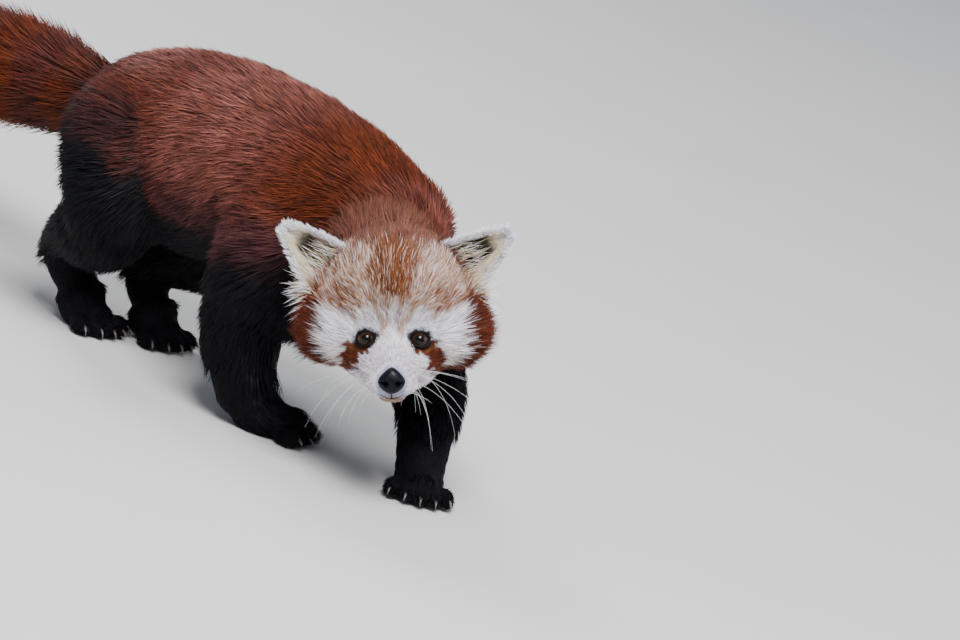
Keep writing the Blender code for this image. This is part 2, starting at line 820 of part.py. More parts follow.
def lie_of(kind, point, normal):
    """The way the coat lies at a point."""
    if kind == "tail":
        return Vector((0.07, 1.0, -0.16))
    if kind == "ruff":
        side = 1.0 if in_head(point).x > 0 else -1.0
        return head_frame().to_3x3() @ Vector((side * 0.62, 0.50, -0.60))
    if kind == "leg":
        return Vector((0.0, 0.45, -1.0))
    if kind == "belly":
        return Vector((0.0, 0.9, -0.6))
    return Vector((0.18 * point.x / TRUNK_WIDTH, 1.0, -0.75 * (1.0 - max(normal.z, 0.0))))


def node_finder():
    """A function that tells which node a point will be part of."""
    regions = []
    for name in PAWS:
        shape = leg_region(name)(0.0)
        regions.append((name, surface_of(shape)))
        bpy.data.objects.remove(shape)
    leg_cuts = {name: leg_planes(name) for name in PAWS}

    def beyond(planes, point):
        return sum((point - Vector(place)).dot(Vector(normal)) > 0 for place, normal in planes)

    def find(point):
        local = in_head(point)
        if local.y < HEAD_SEAM_DEPTH and abs(local.x) < 0.13 and -0.105 < local.z < 0.115:
            return "head"
        if point.y > TAIL_SEAM:
            return "tail"
        for name, tree in regions:
            near, normal, _, _ = tree.find_nearest(point)
            if (point - near).dot(normal) < 0:
                return (name, beyond(leg_cuts[name], point))
        return ("trunk", beyond((NECK_SEAM,), point))

    return find


def spread_roots(body, rng):
    """Roots spread evenly over the body, each coat at its own spacing, as (kind, point, normal)."""
    corners = []
    areas = []
    for face in body.data.polygons:
        points = [body.data.vertices[number].co for number in face.vertices]
        for number in range(1, len(points) - 1):
            corners.append((points[0], points[number], points[number + 1], face.normal))
            areas.append((points[number] - points[0]).cross(points[number + 1] - points[0]).length / 2)
    roots = []
    for first, second, third, normal in rng.choices(corners, weights=areas, k=ROOT_TRIES):
        a, b = sorted((rng.random(), rng.random()))
        point = first * a + second * (b - a) + third * (1 - b)
        kind = coat_kind(point, normal)
        if kind is None:
            continue
        spacing = LOCKS[kind][3]
        if all((point - other).length > spacing for _, other, _ in roots):
            roots.append((kind, point, normal))
    return roots


def lock_line(surface, kind, point, normal, reach, bend):
    """Feet of a lock's line on the core and the normals there."""
    feet, normals = [point], [normal]
    steps = LOCK_STEPS
    for number in range(steps):
        lie = lie_of(kind, feet[-1], normals[-1])
        ahead = lie - normals[-1] * lie.dot(normals[-1])
        ahead.normalize()
        ahead += normals[-1].cross(ahead) * bend * (number + 1)
        target = feet[-1] + ahead.normalized() * (reach / steps)
        foot, facing, _, _ = surface.find_nearest(target)
        if (foot - feet[-1]).dot(ahead) < 0.5 * reach / steps:
            foot, facing = target, normals[-1]
        feet.append(foot)
        normals.append((facing + normals[-1]).normalized())
    return feet, normals


def fitted_line(surface, find, root, reach, bend):
    """A lock's line and its heights. It stays in its root's node, if need be shorter or rooted further back.

    A lock of the body or tail that can't do so lies low across the seam, with its tip sunk too.
    """
    kind, point, normal = root
    home = find(point)
    for back in (0.0, 0.3, 0.55):
        start, facing = point, normal
        if back:
            feet, normals = lock_line(surface, kind, point, normal, -reach * back, bend)
            start, facing = feet[-1], normals[-1]
            if find(start) != home:
                break
        scale = 1.0
        while scale > LOCK_SHORTEST:
            feet, normals = lock_line(surface, kind, start, facing, reach * scale, bend)
            if all(find(foot) == home for foot in feet):
                return feet, normals, LOCK_HEIGHTS, scale
            scale *= 0.88
    if kind == "ruff":
        return None
    feet, normals = lock_line(surface, kind, point, normal, reach * CROSSING_SCALE, bend)
    return feet, normals, CROSSING_HEIGHTS, CROSSING_SCALE


def coat_locks(body, surface):
    """The locks of the whole coat."""
    rng = random.Random(11)
    find = node_finder()
    locks = []
    for root in spread_roots(body, rng):
        length, width, height, _ = LOCKS[root[0]]
        reach = length * rng.uniform(0.85, 1.15)
        width *= rng.uniform(0.88, 1.12)
        rise = height * rng.uniform(0.80, 1.15)
        fitted = fitted_line(surface, find, root, reach, rng.uniform(-0.06, 0.06))
        if fitted is None:
            continue
        feet, normals, heights, scale = fitted
        rise *= 0.7 + 0.3 * scale
        line = []
        for foot, facing, share in zip(feet, normals, heights):
            lift = rise * share if share > 0 else LOCK_SINK * share
            line.append(foot + facing * lift)
        locks.append(lock_object(line, normals, width, width * LOCK_THICKNESS))
    return locks


def tuft_objects(side):
    """The long white tufts on one ear's outer edge."""
    frame = head_frame() @ ear_frame(side)
    turn = frame.to_3x3()
    sign = 1 if side == "left" else -1
    tufts = []
    for share, (out, forward, along) in EAR_TUFTS:
        across = 0.70
        root = Vector((
            sign * across * EAR_HALF_WIDTH * ear_width(share),
            ear_depth(across, share),
            EAR_LENGTH * share,
        ))
        way = Vector((sign * out, forward, along)).normalized()
        line = [frame @ (root + way * (TUFT_LENGTH * step / LOCK_STEPS)) for step in range(LOCK_STEPS + 1)]
        normals = [turn @ Vector((0.0, -1.0, 0.0))] * len(line)
        tufts.append(lock_object(line, normals, TUFT_WIDTH, TUFT_WIDTH * 0.25, TUFT_WIDTHS))
    return tufts


def claw_objects():
    claws = []
    for name in PAWS:
        for place in toe_places(name):
            form = bmesh.new()
            line = [place @ Vector(point) for point in CLAW_PATH]
            add_loft(form, line, CLAW_RADII, sides=4, steps=1)
            claws.append(object_from("claw", form))
    return claws


def plane_between(centres, t):
    """The plane square to a line of joints at a place between them."""
    centres = [Vector(centre) for centre in centres]
    last = len(centres) - 1
    point = smooth_point(centres, t)
    ahead = smooth_point(centres, min(t + 0.2, last)) - smooth_point(centres, max(t - 0.2, 0.0))
    return point, ahead


def leg_planes(name):
    """The planes between upper leg, lower leg and paw."""
    line = [joint[0] for joint in leg_of(name)] + [PAWS[name][0]]
    places = FORELEG_CUTS if name.startswith("fore") else HINDLEG_CUTS
    return [plane_between(line, t) for t in places]


def parted_leg(leg, name):
    """A leg's three nodes: upper leg, lower leg and paw."""
    pair, side = name.split("_")
    names = (f"{pair}leg_upper_{side}", f"{pair}leg_lower_{side}", f"{pair}paw_{side}")
    return lengths_of(leg, leg_planes(name), names)


def corners_of(items):
    """Lowest and highest corners of some objects."""
    points = [item.matrix_world @ vert.co for item in items for vert in item.data.vertices]
    low = Vector([min(point[axis] for point in points) for axis in range(3)])
    high = Vector([max(point[axis] for point in points) for axis in range(3)])
    return low, high


def finish(nodes):
    """Puts the origin under the middle of the whole, and names, colours and smooths each node."""
    low, high = corners_of(nodes.values())
    shift = Vector((-(low.x + high.x) / 2, -(low.y + high.y) / 2, 0.0))
    for name, item in nodes.items():
        low, high = corners_of([item])
        middle = (low + high) / 2
        item.data.transform(Matrix.Translation(-middle))
        item.location = middle + shift
        item.name = name
        item.data.name = name
        item.data.materials.clear()
        item.data.materials.append(material(name, colour_of(name)))
        item.data.shade_smooth()
        item.data.set_sharp_from_angle(angle=math.radians(50.0))


def colour_of(name):
    for key, colour in NODE_COLOURS:
        if name.startswith(key):
            return colour
    return "rust"


def joined_body(surface, body, eyes):
    """The body with its locks fused to it, and then claws, ears and lids."""
    boolean(body, "UNION", coat_locks(body, surface))
    keep_largest(body)
    simplified(body, COAT_TRIANGLES)
    levelled(body)
    pieces = claw_objects()
    for side in ("left", "right"):
        form = bmesh.new()
        ear_form(form, head_frame() @ ear_frame(side))
        pieces.append(object_from("ear", form))
        pieces.append(lid_object(*eyes[side]))
        pieces += tuft_objects(side)
    boolean(body, "UNION", pieces)
    return keep_largest(body)


def opened_head(head, surface, eyes):
    """The head with its eye sockets, the seat of the nose and the line of the mouth."""
    cuts = mouth_groove(surface)
    cuts.append(nose_object("seat", GAP))
    for centre, _ in eyes.values():
        cuts.append(ball_object("socket", centre, (EYE_RADIUS + GAP,) * 3))
    boolean(head, "DIFFERENCE", cuts)
    return keep_largest(head)


def main():
    clear_scene()
    body = levelled(simplified(whole_body(), BODY_TRIANGLES))
    surface = surface_of(body)
    eyes = eye_places(surface)
    joined_body(surface, body, eyes)

    head = parted(body, "head", head_region)
    nodes = {"tail": parted(body, "tail", tail_region)}
    for name in PAWS:
        nodes.update(parted_leg(parted(body, name, leg_region(name)), name))
    nodes.update(lengths_of(body, (NECK_SEAM,), ("trunk", "neck")))
    for side in ("left", "right"):
        nodes[f"ear_{side}"] = parted(head, f"ear_{side}", ear_region(side))
        nodes[f"eye_{side}"] = ball_object(f"eye_{side}", eyes[side][0], (EYE_RADIUS,) * 3)
    nodes["head"] = opened_head(head, surface, eyes)
    nodes["nose"] = nose_node()
    finish(nodes)


main()
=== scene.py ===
"""The looks of the walking red panda: skin, a coat of mesh tufts, eyes, nose, claws and whiskers."""

import itertools
import math

import bpy
import numpy as np
from mathutils import Matrix, Vector
from mathutils.bvhtree import BVHTree


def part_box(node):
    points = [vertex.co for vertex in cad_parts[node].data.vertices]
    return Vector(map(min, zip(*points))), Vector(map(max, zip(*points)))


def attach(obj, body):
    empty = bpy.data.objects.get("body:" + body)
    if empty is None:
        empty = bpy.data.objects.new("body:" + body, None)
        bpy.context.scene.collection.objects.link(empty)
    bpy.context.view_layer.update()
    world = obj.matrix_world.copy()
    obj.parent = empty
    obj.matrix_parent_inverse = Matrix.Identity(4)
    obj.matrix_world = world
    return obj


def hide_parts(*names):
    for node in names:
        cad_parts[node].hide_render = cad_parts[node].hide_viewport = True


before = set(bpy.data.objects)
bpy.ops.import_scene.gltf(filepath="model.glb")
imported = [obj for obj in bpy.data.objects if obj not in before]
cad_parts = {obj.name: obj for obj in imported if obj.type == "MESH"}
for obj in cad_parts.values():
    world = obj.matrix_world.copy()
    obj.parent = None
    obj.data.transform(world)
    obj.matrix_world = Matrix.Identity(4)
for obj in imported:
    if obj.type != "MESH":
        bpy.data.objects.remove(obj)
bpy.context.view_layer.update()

# Body masses, in the animal's own axes: it faces -y, its left side is +x, and the floor is z = 0
TRUNK_WIDTH = 0.166
CORE_DEPTH = 0.010
TRUNK_SECTIONS = (
    (0.205, 0.207, 0.116, 0.42),
    (0.180, 0.233, 0.098, 0.78),
    (0.135, 0.254, 0.088, 0.97),
    (0.080, 0.267, 0.088, 1.00),
    (0.020, 0.271, 0.100, 1.00),
    (-0.040, 0.267, 0.110, 0.97),
    (-0.090, 0.256, 0.114, 0.93),
    (-0.130, 0.240, 0.122, 0.82),
    (-0.158, 0.216, 0.138, 0.50),
)
NECK_LINE = ((0.0, -0.085, 0.184), (-0.010, -0.125, 0.178), (-0.025, -0.160, 0.168), (-0.040, -0.187, 0.157))
NECK_RADII = (0.058, 0.055, 0.050, 0.046)
TAIL_LINE = (
    (0.000, 0.170, 0.170),
    (0.000, 0.210, 0.172),
    (0.002, 0.260, 0.170),
    (0.006, 0.320, 0.164),
    (0.012, 0.380, 0.154),
    (0.020, 0.440, 0.142),
    (0.027, 0.500, 0.129),
    (0.030, 0.545, 0.120),
    (0.032, 0.580, 0.114),
)
TAIL_RADII = (0.040, 0.043, 0.046, 0.050, 0.052, 0.052, 0.050, 0.042, 0.022)
TAIL_CORES = (0.80, 0.66, 0.54, 0.48, 0.46, 0.46, 0.46, 0.46, 0.46)
TAIL_START = 0.215
TAIL_RINGS = 5.2
# Rounder masses on the trunk: the middle and the radii of each
SHOULDER = ((0.011, -0.118, 0.184), (0.050, 0.050, 0.048))
CHEST = ((-0.014, -0.080, 0.124), (0.040, 0.040, 0.038))
# How high the skin and the coat stay over the floor
FLOOR_GAP = 0.0008

# Legs: joints from the shoulder or hip down, and the coat's radius at each
LEGS = {
    "fore_right": (
        ((-0.042, -0.062, 0.165), 0.046),
        ((-0.053, -0.064, 0.131), 0.045),
        ((-0.053, -0.051, 0.094), 0.038),
        ((-0.055, -0.056, 0.060), 0.031),
        ((-0.052, -0.069, 0.030), 0.026),
    ),
    "fore_left": (
        ((0.044, -0.085, 0.165), 0.046),
        ((0.060, -0.108, 0.131), 0.045),
        ((0.066, -0.128, 0.096), 0.038),
        ((0.054, -0.172, 0.064), 0.031),
        ((0.023, -0.209, 0.031), 0.025),
    ),
    "hind_right": (
        ((-0.050, 0.130, 0.171), 0.056),
        ((-0.058, 0.115, 0.131), 0.051),
        ((-0.052, 0.127, 0.096), 0.042),
        ((-0.044, 0.166, 0.074), 0.031),
        ((-0.037, 0.180, 0.053), 0.026),
        ((-0.033, 0.157, 0.030), 0.024),
    ),
    "hind_left": (
        ((0.050, 0.120, 0.166), 0.056),
        ((0.056, 0.090, 0.126), 0.051),
        ((0.048, 0.090, 0.091), 0.041),
        ((0.035, 0.125, 0.068), 0.030),
        ((0.024, 0.140, 0.048), 0.025),
        ((0.021, 0.122, 0.028), 0.023),
    ),
}
LEG_COATS = {"fore": 0.003, "hind": 0.007}
# Paws: middle of the palm, middle of the toes' roots, and the toes' turn in degrees to the animal's right
PAWS = {
    "fore_right": ((-0.039, -0.089, 0.0135), (-0.023, -0.111, 0.0125), -36.0),
    "fore_left": ((0.009, -0.225, 0.0135), (-0.006, -0.242, 0.0125), 41.0),
    "hind_right": ((-0.031, 0.145, 0.0135), (-0.029, 0.126, 0.0120), 0.0),
    "hind_left": ((0.020, 0.110, 0.0135), (0.019, 0.092, 0.0120), 2.0),
}
PALM_RADII = (0.021, 0.020, 0.0155)
FOOT_RADII = (0.0210, 0.0190, 0.0135)
TOE_MIDDLE = (0.0, -0.006, 0.0)
TOE_RADII = (0.0070, 0.0130, 0.0080)
TOE_SPREAD = 0.0098
TOE_FAN = 9.0
CLAW_PATH = ((0.0, -0.0110, 0.0008), (0.0, -0.0160, 0.0016), (0.0, -0.0200, -0.0006), (0.0, -0.0222, -0.0044))
CLAW_RADII = (0.0015, 0.0014, 0.0009, 0.0002)

# Head: its place, and how it is turned right, lifted and leaned over
HEAD_CENTRE = Vector((-0.047, -0.199, 0.148))
HEAD_TURN = math.radians(-50.0)
HEAD_LIFT = math.radians(-14.2)
HEAD_TILT = math.radians(-15.3)
HEAD_REACH = (0.080, 0.046, 0.085)
# Its rounder masses in its own axes: the middle and the radii of each, first those in the middle of the head
HEAD_MIDDLE_MASSES = (
    ((0.0, 0.010, 0.014), (0.0510, 0.0545, 0.0500)),
    ((0.0, -0.018, 0.008), (0.0455, 0.0325, 0.0375)),
    ((0.0, -0.008, -0.019), (0.0600, 0.0385, 0.0300)),
    ((0.0, -0.0600, -0.0525), (0.0178, 0.0150, 0.0134)),
)
HEAD_SIDE_MASSES = (
    ((0.038, 0.000, -0.013), (0.0325, 0.0335, 0.0290)),
    ((0.045, 0.014, -0.006), (0.0235, 0.0245, 0.0320)),
)
CHIN = ((0.0, -0.052, -0.0655), (0.0118, 0.0175, 0.0060))
LIP = ((0.0082, -0.0605, -0.0576), (0.0096, 0.0142, 0.0082))
MUZZLE_LINE = ((0.0, -0.010, -0.030), (0.0, -0.036, -0.040), (0.0, -0.064, -0.0530))
MUZZLE_RADII = (0.0300, 0.0242, 0.0146)
MUZZLE_REACH = 0.075
MUZZLE_LENGTH = 0.065
MUZZLE_FLARE = 0.24
MUZZLE_BREADTH = 1.08
EYE_SIDE = 0.0215
EYE_HEIGHT = -0.0215
EYE_BULGE = 0.0006
EYE_BULGE_REACH = 0.62
LID_POINTS = 24
LID_WIDTH = 0.92
LID_HEIGHT = 0.74
LID_GAP = 0.0003
LID_RADIUS = 0.0011
NOSE_CENTRE = (0.0, -0.0735, -0.0555)
NOSE_RADII = (0.0108, 0.0085, 0.0105)
NOSE_RISE = 0.0014
MOUTH_HALF_WIDTH = 0.0110
MOUTH_HEIGHT = -0.0670
MOUTH_SHARES = (-1.0, -0.6, -0.3, 0.0, 0.3, 0.6, 1.0)
# Whiskers: how much of their length is kept on the left (1) and right (-1), and on one side of the head
# where the upper and lower ones start and where they can reach
WHISKER_REACH = {1: 1.0, -1: 0.74}
WHISKER_COUNT = 13
LONG_WHISKERS = (0, 2, 4, 5, 9)
WHISKER_ROOTS = ((0.0290, -0.050, -0.0480), (0.0150, -0.064, -0.0660))
WHISKER_TIPS = ((0.0920, 0.008, -0.0800), (0.0700, -0.010, -0.1240), (0.0240, -0.036, -0.0940))
WHISKER_CUTS = (0.0, 0.25, 0.5, 0.75, 1.0)
WHISKER_RADII = (0.00011, 0.00010, 0.00009, 0.00007, 0.00004)
EAR_ROOTS = {"right": (0.0465, 0.000, 0.0265), "left": (0.0440, 0.000, 0.0300)}
EAR_LENGTH = 0.057
EAR_HALF_WIDTH = 0.0238
EAR_CUP = 0.013
EAR_CURL = 0.006
EAR_THICKNESS = 0.0036
EAR_RISE = {"right": math.radians(43.0), "left": math.radians(36.0)}

# Colours, in linear light
MAHOGANY = (0.072, 0.0110, 0.0032)
# Copper is the tail's light rings and blotches on the crown, and on the shoulder and rear flank a painted
# highlight
COPPER = (0.106, 0.021, 0.0026)
# A painted sheen, pinkish tan, laid where light falls on the upper back, flanks, neck and the back of the
# head
ROSE_SHEEN = (0.180, 0.064, 0.050)
PLUM = (0.044, 0.0140, 0.0150)
BLACK = (0.0024, 0.0024, 0.0042)
GINGER = (0.240, 0.086, 0.030)
# A painted sheen, mauve, on the top of the head
MAUVE_SHEEN = (0.170, 0.070, 0.060)
WHITE = (0.820, 0.815, 0.915)
LAVENDER = (0.530, 0.540, 0.740)
BEIGE = (0.560, 0.380, 0.250)
CREAM = (0.910, 0.710, 0.380)
TEAR = (0.088, 0.0170, 0.0050)
EAR_DARK = (0.030, 0.026, 0.020)
RIM_DARK = (0.010, 0.008, 0.008)
# The least and most that a blade's colour can be, and how much of the coat's colour the skin has
COLOUR_LIMITS = (0.0015, 0.92)
SKIN_SHADE = 0.60
# Finishes other than fur and eye: name, colour, roughness and clear coat, then the grain's scale, depth
# and share, and the gloss
PLAIN_FINISHES = {
    "nose_wet": ("nose leather", (0.0030, 0.0034, 0.0065), 0.36, 0.04, 1500.0, 0.0003, 0.3, 0.12),
    "claws": ("claw horn", (0.11, 0.090, 0.085), 0.40, 0.1, 300.0, 0.0001, 0.3, 0.5),
    "whiskers": ("whisker", (0.80, 0.79, 0.78), 0.35, 0.0, 500.0, 0.00002, 0.05, 0.5),
    "mouth": ("lip line", (0.012, 0.009, 0.009), 0.45, 0.0, 900.0, 0.0001, 0.2, 0.2),
    "lids": ("lid rim", (0.004, 0.003, 0.003), 0.50, 0.0, 900.0, 0.0002, 0.2, 0.10),
    "floor": ("pale floor", (0.62, 0.61, 0.59), 0.85, 0.0, 6.0, 0.0, 0.02, 0.5),
}

# Camera: the point it frames, its turn, lift and roll, its distance and the photograph's scale there
AIM = Vector((-0.025, -0.180, 0.141))
AIM_PIXEL = (394.5, 311.0)
VIEW_TURN = math.radians(-50.0)
VIEW_LIFT = math.radians(14.2)
VIEW_ROLL = math.radians(16.3)
VIEW_DISTANCE = 4.5
PIXELS_PER_METRE = 1250.0
PHOTO_SIZE = (960, 640)
SENSOR_WIDTH = 36.0
FLOOR_SIZE = 60.0
# Lamps: place, the point that each lights, size, power and colour
LAMPS = {
    "key": ((-1.3, -1.5, 2.6), (0.0, -0.1, 0.12), 1.3, 180.0, (1.0, 0.985, 0.99)),
    "fill": ((1.6, -2.2, 1.2), (0.0, -0.1, 0.12), 1.8, 26.0, (1.0, 1.0, 1.0)),
    "rim": ((0.6, 2.0, 2.4), (0.0, 0.0, 0.15), 1.2, 70.0, (1.0, 1.0, 1.0)),
}

rng = np.random.default_rng(7)


# Shapes
def select(*pieces):
    """Only these pieces selected, with the first of them active."""
    bpy.ops.object.select_all(action="DESELECT")
    for piece in pieces:
        piece.select_set(True)
    if pieces:
        bpy.context.view_layer.objects.active = pieces[0]


def apply_modifier(piece, kind, **settings):
    """Adds one modifier to the piece and applies it."""
    modifier = piece.modifiers.new(kind.title(), kind)
    for key, value in settings.items():
        setattr(modifier, key, value)
    select(piece)
    bpy.ops.object.modifier_apply(modifier=modifier.name)


def joined(pieces):
    """Several pieces as one."""
    select(*pieces)
    if len(pieces) > 1:
        bpy.ops.object.join()
    return bpy.context.object


def finished(piece, name):
    """The piece with its name, shaded smooth."""
    piece.name = piece.data.name = name
    piece.data.shade_smooth()
    return piece


def ball(centre, radii, place=Matrix(), segments=32, rings=20):
    """An ellipsoid in the axes of a place."""
    select()
    bpy.ops.mesh.primitive_uv_sphere_add(segments=segments, ring_count=rings, radius=1.0)
    piece = bpy.context.object
    piece.data.transform(place @ Matrix.Translation(centre) @ Matrix.Diagonal((*radii, 1.0)))
    return piece


def tube(centres, radii, place=Matrix(), sides=6, steps=8):
    """A round tube through the centres, with its own radius at each and closed ends."""
    select()
    bpy.ops.curve.primitive_bezier_curve_add()
    piece = bpy.context.object
    curve = piece.data
    curve.splines.clear()
    spline = curve.splines.new("BEZIER")
    spline.bezier_points.add(len(centres) - 1)
    spline.radius_interpolation = "CARDINAL"
    for point, centre, radius in zip(spline.bezier_points, centres, radii):
        point.co = centre
        point.radius = radius
        point.handle_left_type = "AUTO"
        point.handle_right_type = "AUTO"
    curve.dimensions = "3D"
    curve.resolution_u = steps
    curve.bevel_depth = 1.0
    curve.bevel_resolution = sides
    curve.use_fill_caps = True
    bpy.ops.object.convert(target="MESH")
    piece = bpy.context.object
    piece.data.transform(place)
    return piece


def head_place():
    """From the head's own axes (x its left, -y where it faces, z its crown) to the animal's."""
    turn = Matrix.Rotation(HEAD_TURN, 4, "Z")
    lift = Matrix.Rotation(HEAD_LIFT, 4, "X")
    tilt = Matrix.Rotation(HEAD_TILT, 4, "Y")
    return Matrix.Translation(HEAD_CENTRE) @ turn @ lift @ tilt


def ear_place(side):
    """From an ear's own axes (x across it, y out of its back, z to its tip) to the head's."""
    sign = 1 if side == "left" else -1
    aside, back, height = EAR_ROOTS[side]
    root = Vector((sign * aside, back, height))
    return Matrix.Translation(root) @ Matrix.Rotation(sign * (math.pi / 2 - EAR_RISE[side]), 4, "Y")


def paw_place(name):
    """From a paw's own axes, with the toes towards -y, to the animal's."""
    _, toes, inward = PAWS[name]
    return Matrix.Translation(toes) @ Matrix.Rotation(-math.radians(inward), 4, "Z")


def toe_places(name):
    """Place and turn of each of a paw's five toes."""
    for number in (-2, -1, 0, 1, 2):
        root = Vector((number * TOE_SPREAD, 0.0022 * number**2, -0.0040))
        turn = Matrix.Rotation(math.radians(number * TOE_FAN), 4, "Z")
        yield paw_place(name) @ Matrix.Translation(root) @ turn


def trunk_mass():
    """The trunk as a round tube, then made as wide at each section as it should be."""
    centres = [(0.0, along, (top + bottom) / 2) for along, top, bottom, _ in TRUNK_SECTIONS]
    heights = [(top - bottom) / 2 - CORE_DEPTH for _, top, bottom, _ in TRUNK_SECTIONS]
    widths = [TRUNK_WIDTH / 2 * share - CORE_DEPTH for _, _, _, share in TRUNK_SECTIONS]
    piece = tube(centres, heights, sides=12)
    places = np.array([section[0] for section in TRUNK_SECTIONS])[::-1]
    ratios = (np.array(widths) / np.array(heights))[::-1]
    for vert in piece.data.vertices:
        vert.co.x *= float(np.interp(vert.co.y, places, ratios))
    return piece


def leg_cores():
    """Each leg's joints with the radius that lies under its coat."""
    for name, joints in LEGS.items():
        yield [(centre, radius - LEG_COATS[name[:4]]) for centre, radius in joints]


def broad_masses():
    """The trunk, neck, shoulder, chest, tail core and upper legs."""
    cores = [radius * share for radius, share in zip(TAIL_RADII, TAIL_CORES)]
    pieces = [trunk_mass(), tube(NECK_LINE, NECK_RADII, sides=10), tube(TAIL_LINE, cores, sides=10)]
    pieces += [ball(*SHOULDER), ball(*CHEST)]
    for joints in leg_cores():
        upper = joints[:4]
        pieces.append(tube(*zip(*upper), sides=10))
        pieces += [ball(centre, (radius,) * 3) for centre, radius in (upper[0], upper[-1])]
    return pieces


def muzzle_mass():
    """The muzzle in the head's own axes, a tapered tube that is broader where it leaves the cheeks."""
    piece = tube(MUZZLE_LINE, MUZZLE_RADII, sides=10)
    for vert in piece.data.vertices:
        back = min(max((vert.co.y + MUZZLE_REACH) / MUZZLE_LENGTH, 0.0), 1.0)
        vert.co.x *= 1.0 + MUZZLE_FLARE * back
        vert.co.x *= MUZZLE_BREADTH
    return piece


def head_masses():
    """Skull, cheeks, brow and muzzle, and the lower legs."""
    place = head_place()
    pieces = [ball(centre, radii, place) for centre, radii in HEAD_MIDDLE_MASSES]
    for side in (-1, 1):
        for (aside, back, height), radii in HEAD_SIDE_MASSES:
            pieces.append(ball((side * aside, back, height), radii, place))
    muzzle = muzzle_mass()
    muzzle.data.transform(place)
    pieces.append(muzzle)
    for joints in leg_cores():
        pieces.append(tube(*zip(*joints[2:]), sides=10))
        centre, radius = joints[-1]
        pieces.append(ball(centre, (radius,) * 3))
    return pieces


def fine_masses():
    """Lips, chin and paws."""
    place = head_place()
    pieces = [ball(*CHIN, place)]
    (aside, back, height), radii = LIP
    pieces += [ball((side * aside, back, height), radii, place) for side in (-1, 1)]
    for name, (palm, toes, _) in PAWS.items():
        pieces.append(ball(palm, PALM_RADII))
        pieces.append(tube([LEGS[name][-1][0], palm, toes], FOOT_RADII, sides=8))
        pieces += [ball(TOE_MIDDLE, TOE_RADII, toe, 16, 10) for toe in toe_places(name)]
    return pieces


def ear_width(along):
    """Half the ear's width at a share of its length."""
    along = np.clip(along, 0.0, 1.0)
    return EAR_HALF_WIDTH * ((1.0 - along**1.4) ** 0.82 * 0.96 + 0.04)


def ear_depth(across, along):
    """How far the middle of the ear's sheet lies behind its rim."""
    along = np.clip(along, 0.0, 1.0)
    return EAR_CUP * (1 - across**2) * (1 - 0.75 * along**2) - EAR_CURL * along**2


def ear_shell(side):
    """A cupped ear from a grid, given a thickness and rounded."""
    select()
    bpy.ops.mesh.primitive_grid_add(x_subdivisions=22, y_subdivisions=26, size=2.0)
    piece = bpy.context.object
    for vert in piece.data.vertices:
        across = vert.co.x
        along = -0.30 + 1.28 * (vert.co.y + 1.0) / 2.0
        vert.co = (ear_width(along) * across, ear_depth(across, along), EAR_LENGTH * along)
    piece.data.transform(head_place() @ ear_place(side))
    apply_modifier(piece, "SOLIDIFY", thickness=EAR_THICKNESS, offset=0.0)
    apply_modifier(piece, "SMOOTH", factor=0.5, iterations=2)
    return piece


def make_skin():
    """One skin for the whole animal, its floor side flat, with the two ears set into the head."""
    body = None
    stages = ((0.006, 12, broad_masses), (0.004, 8, head_masses), (0.0026, 4, fine_masses))
    for voxel, rounds, masses in stages:
        body = joined(([body] if body else []) + masses())
        apply_modifier(body, "REMESH", mode="VOXEL", voxel_size=voxel)
        apply_modifier(body, "SMOOTH", factor=0.5, iterations=rounds)
    for vert in body.data.vertices:
        vert.co.z = max(vert.co.z, FLOOR_GAP)
    return finished(joined([body, ear_shell("left"), ear_shell("right")]), "skin")


# Measures and colours over the skin
def in_place(points, place):
    """Points in the axes of a place."""
    back = np.array(place.inverted())
    return points @ back[:3, :3].T + back[:3, 3]


def turned(vectors, place):
    """Vectors out of the axes of a place."""
    return vectors @ np.array(place.to_3x3()).T


def unit(vectors):
    return vectors / np.maximum(np.linalg.norm(vectors, axis=-1, keepdims=True), 1e-12)


def step(low, high, values):
    """A smooth step from 0 at low to 1 at high, also with high below low."""
    share = np.clip((values - low) / (high - low), 0.0, 1.0)
    return share * share * (3 - 2 * share)


def hump(middle, reach, values):
    """1 at the middle, falling to 0 at its reach on both sides."""
    return step(reach, 0.0, np.abs(values - middle))


def mixed(first, second, share):
    share = np.asarray(share)[..., None]
    return np.asarray(first) * (1 - share) + np.asarray(second) * share


def lumps(points, size, seed=0.0):
    """Soft lumps between 0 and 1, from a few crossed waves."""
    total = np.zeros(len(points))
    for number in range(5):
        angle = 1.7 * number + seed
        way = np.array([math.sin(angle), math.cos(1.3 * angle + 0.6), math.sin(2.1 * angle + 1.1)])
        total += np.sin(points @ way * (2 * math.pi / size) * (1 + 0.23 * number) + 2.4 * number + seed)
    return 0.5 + 0.5 * np.tanh(0.6 * total)


def patch(side, height, oval):
    """1 inside an upright oval on either side of the face, 0 outside, with a soft edge."""
    middle, reach = oval
    away = ((side - middle[0]) / reach[0]) ** 2 + ((height - middle[1]) / reach[1]) ** 2
    return step(1.30, 0.72, away)


def from_line(side, height, line):
    """Distance to a line of points on either side of the face."""
    best = np.full(len(side), 9.0)
    here = np.stack([side, height], axis=1)
    for start, end in zip(line, line[1:]):
        start, axis = np.array(start), np.array(end) - np.array(start)
        share = np.clip((here - start) @ axis / (axis @ axis), 0.0, 1.0)
        best = np.minimum(best, np.linalg.norm(here - start - share[:, None] * axis, axis=1))
    return best


